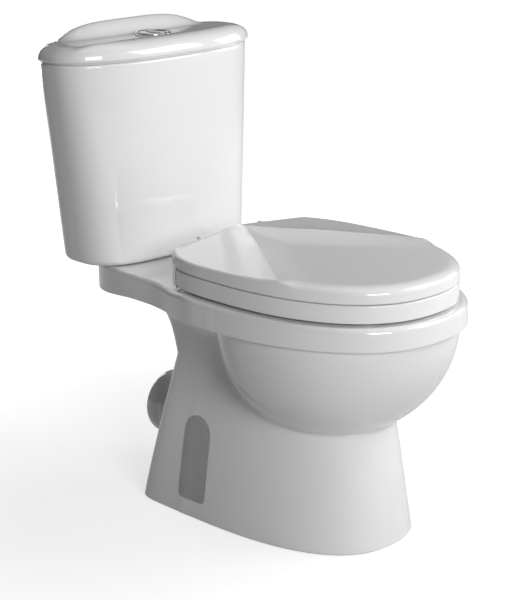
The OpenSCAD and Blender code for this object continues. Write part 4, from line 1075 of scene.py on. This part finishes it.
# %% Extruded plate with rounded edges
def plate(name, outline, low, high, edge, axis=0):
    """Outline carried from low to high along X (axis 0) or Y (axis 1), drawn in over `edge` at both ends.

    For X the outline lists (y, z), and for Y it lists (z, x), anticlockwise."""
    p = np.asarray(outline, float)
    along = np.roll(p, -1, 0) - np.roll(p, 1, 0)
    along /= np.linalg.norm(along, axis=1)[:, None]
    inward = np.column_stack([-along[:, 1], along[:, 0]])
    rows = []
    ends = [(edge * (1 - math.sin(a)), edge * (1 - math.cos(a))) for a in np.linspace(0, math.pi / 2, 4)]
    for inset, depth in ends:
        rows.append((p + inward * inset, low + depth))
    for inset, depth in ends[::-1]:
        rows.append((p + inward * inset, high - depth))
    full = [np.column_stack([np.full(len(p), c), q]) for q, c in rows]
    if axis == 1:
        full = [r[:, [2, 0, 1]] for r in full]
    return lofted(name, full)


def eye_with_web(top, radius=0.0075):
    """Round eye on the hinge line with a web straight up to a height."""
    a = np.linspace(math.pi, 2 * math.pi, 25)
    y, z = hinge_y + radius * np.cos(a), hinge_z + radius * np.sin(a)
    up = np.linspace(hinge_z, top, 6)[1:]
    return np.vstack([np.column_stack([y, z]), np.column_stack([np.full(5, hinge_y + radius), up]),
                      np.column_stack([np.linspace(hinge_y + radius, hinge_y - radius, 6)[1:-1], np.full(4, top)]),
                      np.column_stack([np.full(5, hinge_y - radius), up[::-1]])])


def lug(name, outline, s, aside, node):
    """Plate 8 mm thick beside the hinge post, on the side that the sign of aside tells."""
    x = s * (hinge_x + aside)
    place(plate(name, outline, x - 0.004, x + 0.004, 0.0008), node)


lug_step = 0.0105                        # between the middles of post and lug
for s, side_name in left_right:
    lug(f"cover_lug_{side_name}", eye_with_web(cover_top + 0.002), s, -lug_step, "seat_cover")

# %% [markdown]
# ## The seat ring
# The ring is a loop: up its outer side, over a crowned top that falls towards the opening, and back underneath. Where
# the cover comes down at its back corners, the ring is drawn in to make room.

# %% Ring
ring_eye = wide_y - 0.040
opening = 0.286                          # length of the ring's opening
hole_y = nose_y + 0.070 + opening * 0.53
ring_cut = hinge_y - 0.012
ring_low = seat_z - 0.0018


def soft_min(a, b, k):
    """The smaller of two, rounded over a width of about k."""
    return (a + b - np.sqrt((a - b) ** 2 + k * k)) / 2


def ring_outer(inset):
    """Outer outline: the seat's, drawn in by 5 % behind the skirt line, and cut off in front of the hinges."""
    x, y = oval(seat_half - inset, seat_nose - inset, seat_tail - inset, wide_y, 2.3, 3.2, fine)
    k = 1 - 0.05 * ease(skirt_y - 0.0014, skirt_y - 0.0004, y)
    y = soft_min(wide_y + (y - wide_y) * k, ring_cut - inset + 0.0005, 0.004)
    return seen_from(ring_eye, x * k, y, ring_directions)


def ring_inner(more):
    """Outline of the opening, wider by more."""
    x, y = oval(0.113 + more, opening * 0.53 + more, opening * 0.47 + more, hole_y, 2.2, 2.3, fine)
    return seen_from(ring_eye, x, y, ring_directions)


def ring_rows():
    """Rows of the loop: lower edge, side, shoulder, crowned top, lip, inner wall, underside."""
    def row(reach, z):
        """A row at a reach from the eye, at height z."""
        return np.column_stack([reach * np.cos(ring_directions), ring_eye + reach * np.sin(ring_directions),
                                z + 0 * reach])
    outer, inner = ring_outer(0), ring_inner(0)
    rows = []
    for a in np.linspace(0, math.pi / 2, 5):
        rows.append(row(ring_outer(0.0016 * (1 - math.sin(a))), ring_low + 0.0016 * (1 - math.cos(a))))
    rows += [row(outer, z) for z in np.linspace(ring_low + 0.0016, ring_top - 0.0025, 4)[1:]]
    rows += [row(ring_outer(inset), ring_top - drop) for drop, inset in rolled(5, 0.0025, 0.003)]
    shoulder, lip = ring_outer(0.003), ring_inner(0.006)
    for k in np.linspace(0, 1, 16):
        rows.append(row(shoulder * (1 - k) + lip * k, ring_top + 0.002 * math.sin(math.pi * k ** 0.66)))
    rows += [row(ring_inner(more), ring_top - drop) for more, drop in rolled(6, 0.006, 0.008)]
    rows += [row(inner, z) for z in (ring_top - 0.008, seat_z + 0.007)]
    rows += [row(ring_inner(more), seat_z + up) for up, more in rolled(4, 0.007, 0.006)]
    under, start = ring_inner(0.006), ring_outer(0.003)
    rows += [row(under * (1 - k) + start * k, seat_z + (ring_low - seat_z) * k) for k in np.linspace(0, 1, 7)]
    return rows


corner = math.atan2(ring_cut - ring_eye, 0.137)
ring_directions = fan_of(400, [(a, 0.05, 8) for a in skirt_turn(ring_eye, skirt_y)]
                         + [(a, 0.08, 3) for a in (corner, math.pi - corner)])
ring = lofted("ring_shell", ring_rows(), loop=True)
place(ring, "seat_ring")
for s, side_name in left_right:
    outline = eye_with_web(hinge_z + 0.0005)
    outline[:, 1] = np.minimum(outline[:, 1], ring_top - 0.002)
    lug(f"ring_lug_{side_name}", outline, s, lug_step, "seat_ring")
    y0, y1, z0, z1 = ring_cut - 0.006, hinge_y, seat_z + 0.008, ring_top - 0.002
    lug(f"ring_web_{side_name}", rounded([(y0, z0), (y1, z0), (y1, z1), (y0, z1)], 0.002), s, lug_step, "seat_ring")

# %% [markdown]
# ## Hinges and buffers
# Each hinge is a moulded post on a soft pad, held by a plastic bolt through the china. The buffers are soft discs
# that keep plastic off china; turned profiles with rounded edges catch the light as moulded ones do.

# %% Hinge posts, pads and buffers
post_r = 0.008                           # round top of a hinge post
for s, side_name in left_right:
    x = s * hinge_x
    a = np.linspace(0, math.pi, 25)
    arch = np.column_stack([hinge_y + post_r * np.cos(a), hinge_z + post_r * np.sin(a)])
    foot_z = deck_top + 0.002
    base = [(hinge_y - post_r, z) for z in np.linspace(hinge_z, foot_z + 0.0005, 7)[1:]]
    base += [(y, foot_z) for y in np.linspace(hinge_y - post_r + 0.0005, hinge_y + post_r - 0.0005, 6)]
    base += [(hinge_y + post_r, z) for z in np.linspace(foot_z + 0.0005, hinge_z, 7)[:-1]]
    place(plate(f"hinge_post_{side_name}", np.vstack([arch, base]), x - 0.006, x + 0.006, 0.0015), "hinge_posts")
    pad_z = deck_top + 0.0002
    pad = rounded([(0.0046, pad_z), (0.011, pad_z), (0.011, foot_z), (0.0046, foot_z)], 0.0007)
    place(turned(f"hinge_pad_{side_name}", pad, x, hinge_y), "hinge_pads")


def buffer(name, x, y, z0, z1, radius, node):
    """Soft disc with rounded edges and a small dimple underneath."""
    profile = [(0.0005, z0 + 0.0012), (radius * 0.35, z0 + 0.001), (radius * 0.5, z0), (radius - 0.0012, z0),
               (radius - 0.0004, z0 + 0.0003), (radius, z0 + 0.001), (radius, z1 - 0.001),
               (radius - 0.0004, z1 - 0.0003), (radius - 0.0012, z1), (0.0005, z1)]
    place(turned(name, profile, x, y, 48, loop=False), node)


for s, side_name in left_right:
    for kind, radius, front_x in (("ring", 0.009, 0.088), ("cover", 0.007, 0.084)):
        node = f"{kind}_buffers"
        low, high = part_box(node)
        top = seat_z if kind == "ring" else high.z
        buffer(f"{kind}_buffer_back_{side_name}", s * (high.x - radius), high.y - radius, low.z, top, radius, node)
        buffer(f"{kind}_buffer_front_{side_name}", s * front_x, low.y + radius, low.z, top, radius, node)

# %% [markdown]
# ## The dual flush button
# A chromed bezel holds two half round buttons side by side. Their edges are only slightly rounded, so a fine dark
# line stays between them. Offsetting a half round inwards keeps it a half round: its radius shrinks and its flat side
# moves over by the same amount.

# %% Button housing and halves
button_z = button_high.z                 # top of the bezel
valley = button_z - 0.005
housing_low = button_low.z
half_low, half_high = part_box("full_button")
sleeve = 0.0245
edge = 0.0022                            # radius of the bezel's rolled edge
profile = [(0.001, housing_low), (sleeve - 0.0005, housing_low), (sleeve, housing_low + 0.0005),
           (sleeve, valley + 0.0002), (bezel_r - 0.0002, valley + 0.0002)]
profile += [(bezel_r - edge * (1 - math.cos(a)), button_z - edge + edge * math.sin(a))
            for a in np.linspace(0, 1.45, 8)]
profile += [(0.0240, button_z - 0.0002), (0.0231, button_z - 0.0006), (0.0226, button_z - 0.0014),
            (0.0223, button_z - 0.003), (0.0223, housing_low + 0.003), (0.001, housing_low + 0.003)]
housing = turned("button_bezel", profile, 0, flush_y, 160, loop=False)
carve(housing, [rod("rod hole", s * rod_x, flush_y, housing_low - 0.01, housing_low + 0.01, 0.0032, 32)
                for s in (-1, 1)])
place(housing, "button_housing")


def half_round(radius, flat, z, side):
    """Outline of a half round at height z: an arc of the radius closed by a line at `flat` from the middle."""
    end = math.acos(flat / radius)
    a = np.linspace(-end, end, 61)
    x, y = radius * np.cos(a), radius * np.sin(a)
    line = np.linspace(y[-1], y[0], 26)[1:-1]
    x, y = np.append(x, np.full(24, flat)), np.append(y, line)
    if side < 0:
        x, y = -x[::-1], y[::-1]
    return np.column_stack([x, flush_y + y, np.full(len(x), z)])


def button_rows(side):
    """Rows of a half round button with a 1 mm rounded top edge and a top that is a shade hollow."""
    rows = [half_round(0.0218, 0.0005, half_low.z, side), half_round(0.022, 0.0003, half_low.z + 0.0003, side)]
    for a in np.linspace(0, math.pi / 2, 6):
        d = 0.001 * (1 - math.cos(a))
        rows.append(half_round(0.022 - d, 0.0003 + d, half_high.z - 0.001 * (1 - math.sin(a)), side))
    middle = np.array([side * 0.0100, flush_y, 0])
    rim = rows[-1]
    for k in (0.93, 0.8, 0.6, 0.4, 0.2, 0.06):
        row = middle + k * (rim - middle)
        row[:, 2] = half_high.z - 0.0006 * (1 - k * k)
        rows.append(row)
    return rows


for side, node in ((-1, "full_button"), (1, "half_button")):
    place(lofted(f"{node}_cap", button_rows(side)), node)

# %% [markdown]
# ## Fittings
# Nuts, bolts and washers are small, but they decide whether the part is believed when it is taken apart. A thread
# is a cylinder whose radius follows the height minus the turn, so one formula gives the whole screw. Washers,
# flanges and tubes are turned from profiles with broken edges. Levers, forks and tabs are bars seen from the front.
# Each piece takes its size from the box of the solid it stands for.

# %% Turned and threaded pieces
def sharp(piece, degrees=32):
    """Edges that turn by more than this stay crisp."""
    piece.data.set_sharp_from_angle(angle=math.radians(degrees))
    return piece


def span_of(node):
    """Middle of a node's box along Y, its lowest and highest point, and half its depth."""
    low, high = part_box(node)
    return (low.y + high.y) / 2, low.z, high.z, (high.y - low.y) / 2


def tube(name, node, profile, x, y):
    """Turned piece from a profile, with crisp edges."""
    return place(sharp(turned(name, profile, x, y)), node)


def disc_ring(name, node, x, y, z0, z1, r_in, r_out, edge, count=72, steps=5):
    """Flat ring with rounded edges."""
    profile = rounded([(r_out, z0), (r_out, z1), (r_in, z1), (r_in, z0)], edge, steps)
    return place(turned(name, profile, x, y, count), node)


def ring_in(name, node, x, r_in, edge):
    """Flat ring as high and as wide as the box of its node, which holds one ring or a row of them along X."""
    y, z0, z1, r_out = span_of(node)
    return disc_ring(name, node, x, y, z0, z1, r_in, r_out, edge)


def screw(name, x, y, z0, z1, radius, pitch, depth, count=40):
    """Threaded bar: radius minus depth times a triangle wave of height / pitch minus the turn. The wave fades
    over one pitch at both ends."""
    a = full_turn(count)
    z = np.linspace(z0, z1, max(8, int((z1 - z0) / pitch * 8)))[:, None]
    wave = np.abs(((z / pitch - a / (2 * np.pi)) % 1) * 2 - 1)
    fade = ease(z0, z0 + pitch, z) * (1 - ease(z1 - pitch, z1, z))
    r = radius - depth * (wave * fade + (1 - fade))
    return lofted(name, np.stack([x + r * np.cos(a), y + r * np.sin(a), z + 0 * a], -1))


# %% Nuts
def many_sided(name, node, x, y, z0, z1, flat, bore, sides, bevel=0.0008):
    """Nut: `sides` flats at the distance flat, softened at the corners, with bevelled ends and a bore."""
    a, step = full_turn(sides * 12), 2 * np.pi / sides
    off = (a + step / 2) % step - step / 2
    reach = soft_min(flat / np.cos(off), flat / math.cos(step / 2) - 0.0004, 0.0006)
    inside = bore + 0 * a
    rows = [(reach - bevel, z0), (reach, z0 + bevel), (reach, z1 - bevel), (reach - bevel, z1),
            (inside + 0.0005, z1), (inside, z1 - 0.0005), (inside, z0 + 0.0005), (inside + 0.0005, z0)]
    rows = [np.column_stack([x + r * np.cos(a), y + r * np.sin(a), z + 0 * a]) for r, z in rows]
    return place(sharp(lofted(name, rows, loop=True)), node)


def nut_in(name, node, x, bore, sides):
    """Nut whose corners reach as far as the box of its node does along X."""
    low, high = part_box(node)
    flat = (high.x - low.x) / 2 * math.cos(math.pi / sides)
    return many_sided(name, node, x, (low.y + high.y) / 2, low.z, high.z, flat, bore, sides)


def wing_nut(name, node, x, bore, hub):
    """Hub turned with rounded edges, and two thin wings with round corners, one in front and one behind."""
    y, z0, z1, reach = span_of(node)
    profile = rounded([(hub, z0 + 0.001), (hub * 0.97, z1), (bore, z1), (bore, z0 + 0.001)], 0.0008)
    place(turned(f"{name}_hub", profile, x, y, 48), node)
    for s, end_name in front_back:
        y0, y1 = sorted((y + s * hub * 0.8, y + s * reach))
        wing = rounded([(y0, z0 + 0.001), (y1, z0 + 0.001), (y1, z1 - 0.001), (y0, z1 - 0.001)],
                       min(0.0035, (z1 - z0) * 0.35), 7)
        place(plate(f"{name}_wing_{end_name}", wing, x - 0.0015, x + 0.0015, 0.0006), node)


# %% Bars
def about(middle, half):
    """The two ends of a stretch from its middle and half its length."""
    return middle - half, middle + half


def bar(name, node, z, x, y, radius, edge, steps=5):
    """Bar between two heights, two sides and two depths, with its corners rounded as seen from the front."""
    outline = rounded([(z[0], x[0]), (z[1], x[0]), (z[1], x[1]), (z[0], x[1])], radius, steps)
    return place(plate(name, outline, *y, edge, axis=1), node)


def round_bar(name, node, centre, radius, span, edge, axis=1, count=32):
    """Round bar along X or Y, with its centre given in the order in which plate lists an outline."""
    a = full_turn(count)
    outline = np.column_stack([centre[0] + radius * np.cos(a), centre[1] + radius * np.sin(a)])
    return place(plate(name, outline, *span, edge, axis), node)


# %% Fittings that join the cistern to the pan
for s, side_name in left_right:
    x = s * bolt_x
    for node, edge in (("coupling_rubbers", 0.0007), ("coupling_spacers", 0.0007), ("coupling_plates", 0.0003)):
        ring_in(f"{node[:-1]}_{side_name}", node, x, 0.00405, edge)
    y, z0, z1, _ = span_of("coupling_bolts")
    many_sided(f"bolt_head_{side_name}", "coupling_bolts", x, y, z1 - 0.005, z1, 0.0068, 0.0020, 6)
    place(screw(f"coupling_bolt_{side_name}", x, y, z0, z1 - 0.003, 0.004, 0.00125, 0.0005), "coupling_bolts")
    wing_nut(f"coupling_nut_{side_name}", "coupling_wing_nuts", x, 0.00405, 0.0072)
low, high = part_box("doughnut_washer")
disc_ring("foam_washer", "doughnut_washer", 0, flush_y, low.z, high.z, 0.0345, (high.x - low.x) / 2, 0.005, 128, 8)

# %% Fittings of the seat hinges and of the floor
bolt_r, pin_r = 0.0045, (pin_high.z - pin_low.z) / 2
for s, side_name in left_right:
    x = s * hinge_x
    y, z0, z1, _ = span_of("hinge_bolts")
    place(screw(f"hinge_bolt_{side_name}", x, y, z0, z1 - 0.014, bolt_r, 0.002, 0.0007), "hinge_bolts")
    disc_ring(f"hinge_bolt_neck_{side_name}", "hinge_bolts", x, y, z1 - 0.016, z1, 0.0005, bolt_r, 0.0004, 48)
    ring_in(f"hinge_washer_{side_name}", "hinge_washers", x, 0.00455, 0.0005)
    wing_nut(f"hinge_nut_{side_name}", "hinge_nuts", x, 0.00455, 0.008)
    y, z0, z1, r = span_of("fixing_caps")
    cap = [(r, z0), (r, z0 + 0.0012), (r - 0.0006, z0 + 0.0022), (r - 0.0016, z1), (0.0068, z1),
           (0.0061, z1 - 0.0006), (0.006, z0)]
    place(turned(f"floor_cap_{side_name}", cap, s * screw_x, y, 64), "fixing_caps")
    round_bar(f"hinge_pin_{side_name}", "hinge_pins", (hinge_y, hinge_z), pin_r,
              sorted((s * 0.0625, s * pin_high.x)), 0.0006, axis=0, count=48)

# %% Flush valve: seat, washers and nuts
low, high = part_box("flush_valve_seat")
bore, outside, flange = 0.023, 0.028, high.x
flange_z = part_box("flush_valve_washer")[1].z + 0.0001
shank = [(bore, low.z + 0.001), (bore + 0.0008, low.z), (outside - 0.001, low.z)]
shank += ribbed(outside, 0.0009, low.z + 0.001, 0.021, 5, 61)
shank += rounded([(outside, flange_z), (flange, flange_z), (flange, flange_z + 0.0039),
                  (bore + 0.003, flange_z + 0.0039), (bore + 0.0015, high.z), (bore, high.z)], 0.0006, 4).tolist()[4:]
tube("valve_shank", "flush_valve_seat", shank, 0, flush_y)
low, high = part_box("flush_valve_washer")
disc_ring("valve_washer", "flush_valve_washer", 0, flush_y, low.z, high.z, 0.02805, high.x, 0.0008, 96)
nut_in("valve_nut", "flush_valve_nut", 0, 0.02805, 6)
nut_in("housing_ring_nut", "housing_nut", 0, 0.02455, 12)
low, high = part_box("valve_seal")
disc_ring("seal_ring", "valve_seal", 0, flush_y, low.z, high.z, 0.01255, high.x, 0.0009, 96)

# %% Flush valve: tower, overflow tube and sleeve
lever_x, pipe_r = 0.030, 0.0125
low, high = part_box("flush_valve_tower")
tower_top, tower_r, pivot_z = low.z + 0.203, high.x, high.z - 0.004
shell = rounded([(tower_r, low.z), (tower_r, tower_top), (0.0128, tower_top), (0.0128, tower_top - 0.003),
                 (tower_r - 0.0025, tower_top - 0.003), (tower_r - 0.0025, low.z)], 0.0009, 5)
tower = turned("valve_tower", shell, 0, flush_y, 128)
carve(tower, [block("port", (-wide, flush_y - deep, low.z + 0.008), (wide, flush_y + deep, low.z + 0.053))
              for wide, deep in ((0.05, 0.010), (0.010, 0.05))])
place(tower, "flush_valve_tower")
for s, side_name in left_right:
    for w, end_name in front_back:
        bar(f"lever_cheek_{side_name}_{end_name}", "flush_valve_tower", (pivot_z - 0.015, high.z),
            about(s * lever_x, 0.003), about(flush_y + w * 0.007, 0.002), 0.0026, 0.0005, 6)

low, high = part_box("overflow_tube")
pipe = rounded([(pipe_r, low.z), (pipe_r, high.z), (pipe_r - 0.002, high.z), (pipe_r - 0.002, low.z)], 0.0008)
tube("overflow_pipe", "overflow_tube", pipe, 0, flush_y)
disc_ring("overflow_flange", "overflow_tube", 0, flush_y, low.z + 0.003, low.z + 0.006, pipe_r - 0.001, high.x,
          0.0008, 96)
bar("overflow_catch", "overflow_tube", about(high.z - 0.015, 0.0015), (-pipe_r - 0.006, -pipe_r + 0.0015),
    about(flush_y, 0.005), 0.0008, 0.0006)
low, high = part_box("half_flush_sleeve")
disc_ring("sleeve_ring", "half_flush_sleeve", 0, flush_y, high.z - 0.007, high.z, 0.0128, pipe_r + 0.004, 0.0008)
bar("sleeve_leg", "half_flush_sleeve", (low.z, high.z), about(pipe_r + 0.004, 0.002), about(flush_y, 0.003), 0.001,
    0.0006)


# %% Levers, pins, push rods and springs
def lever_outline(s, z):
    """Bar with round ends and a boss round its pivot, listed as (z, x)."""
    x0, x1 = sorted((s * rod_x, s * 0.054))
    a = np.linspace(math.atan2(-0.0036, 0.002), math.atan2(0.0036, 0.002), 17)
    upper = np.column_stack([z + 0.004 * np.cos(a), s * lever_x + 0.004 * np.sin(a)])
    lower = upper[::-1] * [-1, 1] + [2 * z, 0]
    tip = np.array([(0.002, -0.0015), (0.0015, -0.0004), (0.0006, 0), (-0.0006, 0), (-0.0015, -0.0004),
                    (-0.002, -0.0015)])
    return np.vstack([upper, [z, x1] + tip, lower, [z, x0] - tip])


def coil(name, x, y, z0, z1, radius, wire, turns, ends):
    """Wire along a helix. After a share t of its turns it stands at the share t + ends t (1 - t) (2t - 1) of its
    height, so that its pitch closes up at both ends."""
    t = np.linspace(0, 1, turns * 40 + 1)
    angle = 2 * np.pi * turns * t
    height = z0 + (z1 - z0) * (t + ends * t * (1 - t) * (2 * t - 1))
    middle = np.column_stack([x + radius * np.cos(angle), y + radius * np.sin(angle), height])
    out = np.column_stack([np.cos(angle), np.sin(angle), 0 * t])[:, None]
    b = full_turn(12)[None, :, None]
    return lofted(name, middle[:, None] + wire * (np.cos(b) * -out + np.sin(b) * np.array([0, 0, 1])))


jog_z = housing_low - 0.014              # underside of the push rods' cranks
for s, side_name, button in ((-1, "full", "full_button"), (1, "half", "half_button")):
    place(plate(f"{side_name}_lever_bar", lever_outline(s, pivot_z), *about(flush_y, 0.0035), 0.0005, axis=1),
          f"{side_name}_lever")
    round_bar(f"{side_name}_lever_pin", "lever_pins", (pivot_z, s * lever_x), 0.002, about(flush_y, 0.009), 0.0004)
    node = f"{side_name}_push_rod"
    low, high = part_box(node)
    inner_x, outer_x = s * rod_x, s * 0.050
    disc_ring(f"{side_name}_rod_upper", node, inner_x, flush_y, jog_z, high.z, 0.0002, 0.0025, 0.0003, 32)
    disc_ring(f"{side_name}_rod_lower", node, outer_x, flush_y, low.z, jog_z + 0.004, 0.0002, 0.0025, 0.0006, 32)
    bar(f"{side_name}_rod_crank", node, (jog_z, jog_z + 0.004), sorted((inner_x - s * 0.0025, outer_x + s * 0.0025)),
        about(flush_y, 0.0025), 0.0012, 0.0006, 6)
    node = f"{button}_spring"
    low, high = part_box(node)
    spring = place(coil(node + "_coil", inner_x, flush_y, low.z + 0.0006, high.z - 0.0006, 0.0044, 0.0006, 6, 0.5),
                   node)
    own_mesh(spring)

# %% Fill valve
low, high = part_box("fill_valve")
inlet_x, inlet_y = (low.x + high.x) / 2, (low.y + high.y) / 2
flange_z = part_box("fill_valve_washer")[1].z
stem = [(0.006, low.z + 0.0004), (0.0066, low.z), (0.0094, low.z)]
stem += ribbed(0.0105, 0.0006, low.z + 0.001, 0.025, 14, 141)
stem += [(0.01085, low.z + 0.0275), (0.01085, flange_z)]
stem += rounded([(0.015, flange_z), (0.015, flange_z + 0.005), (0.009, flange_z + 0.009)], 0.0008, 4).tolist()[2:-3]
stem += [(0.0091, flange_z + 0.010), (0.009, flange_z + 0.012), (0.009, high.z - 0.0002), (0.006, high.z)]
tube("fill_stem", "fill_valve", stem, inlet_x, inlet_y)
ring_in("inlet_washer", "fill_valve_washer", inlet_x, 0.01093, 0.0008)
nut_in("inlet_hex_nut", "inlet_nut", inlet_x, 0.01093, 6)

low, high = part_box("fill_valve_head")
head_r, head_low = high.x - inlet_x, low.z
head = [(0.006, head_low + 0.0004), (0.0066, head_low), (head_r - 0.001, head_low), (head_r, head_low + 0.001)]
head += ribbed(head_r, 0.0006, head_low + 0.002, 0.020, 6, 49)
head += [(head_r, head_low + 0.024), (head_r - 0.004, high.z - 0.0008), (head_r - 0.0052, high.z), (0.0005, high.z),
         (0.0005, head_low + 0.0105), (0.006, head_low + 0.0105)]
tube("fill_head", "fill_valve_head", head, inlet_x, inlet_y)
arm_low, arm_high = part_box("float_arm")
arm_z = (arm_low.z + arm_high.z) / 2
fork_x = arm_high.x - 0.0035
for w, end_name in front_back:
    bar(f"float_fork_{end_name}", "fill_valve_head", about(arm_z, 0.004), (fork_x - 0.004, fork_x + 0.010),
        about(inlet_y + w * 0.006, 0.002), 0.003, 0.0005, 6)
round_bar("float_pin", "float_arm_pin", (arm_z, fork_x), 0.0015, about(inlet_y, 0.0085), 0.0003)

# %% Float
low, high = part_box("float_cup")
cup_top, cup_low, cup_r = high.z, low.z, (high.y - low.y) / 2
cup = rounded([(cup_r, cup_low), (cup_r, cup_top), (0.0095, cup_top), (0.0095, cup_low), (0.0115, cup_low),
               (0.0115, cup_top - 0.002), (cup_r - 0.002, cup_top - 0.002), (cup_r - 0.002, cup_low)], 0.0012, 5)
tube("float_body", "float_cup", cup, inlet_x, inlet_y)
bar("float_tab", "float_cup", (cup_top - 0.006, cup_top), (low.x, inlet_x - 0.016), about(inlet_y, 0.005), 0.0016,
    0.0008)
rod_low, rod_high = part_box("float_rod")
stem_x = rod_low.x + 0.0045
place(screw("float_thread", stem_x, inlet_y, rod_low.z, rod_high.z, 0.0018, 0.0008, 0.0003, 28), "float_rod")
for label, z in (("lower", arm_z - 0.007), ("upper", arm_z + 0.004), ("foot", cup_top)):
    many_sided(f"float_stop_{label}", "float_rod", stem_x, inlet_y, z, z + 0.003, 0.0041, 0.0013, 6, 0.0004)
for w, end_name in front_back:
    bar(f"float_prong_{end_name}", "float_arm", about(arm_z, 0.0015), (arm_low.x, arm_low.x + 0.014),
        about(inlet_y + w * 0.00285, 0.00065), 0.0009, 0.0003, 4)
bar("float_bar", "float_arm", about(arm_z, 0.0015), (arm_low.x + 0.0122, fork_x), about(inlet_y, 0.0035), 0.0006,
    0.0005, 4)
round_bar("float_boss", "float_arm", (arm_z, fork_x), 0.0035, about(inlet_y, 0.0035), 0.0004)


# %% [markdown]
# ## Close
# The box of everything that is rendered, apart from the floor, is printed in metres.

# %% Sizes out, and finish
low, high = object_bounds()
print("visual box in metres:", [round(v, 4) for v in low], [round(v, 4) for v in high])
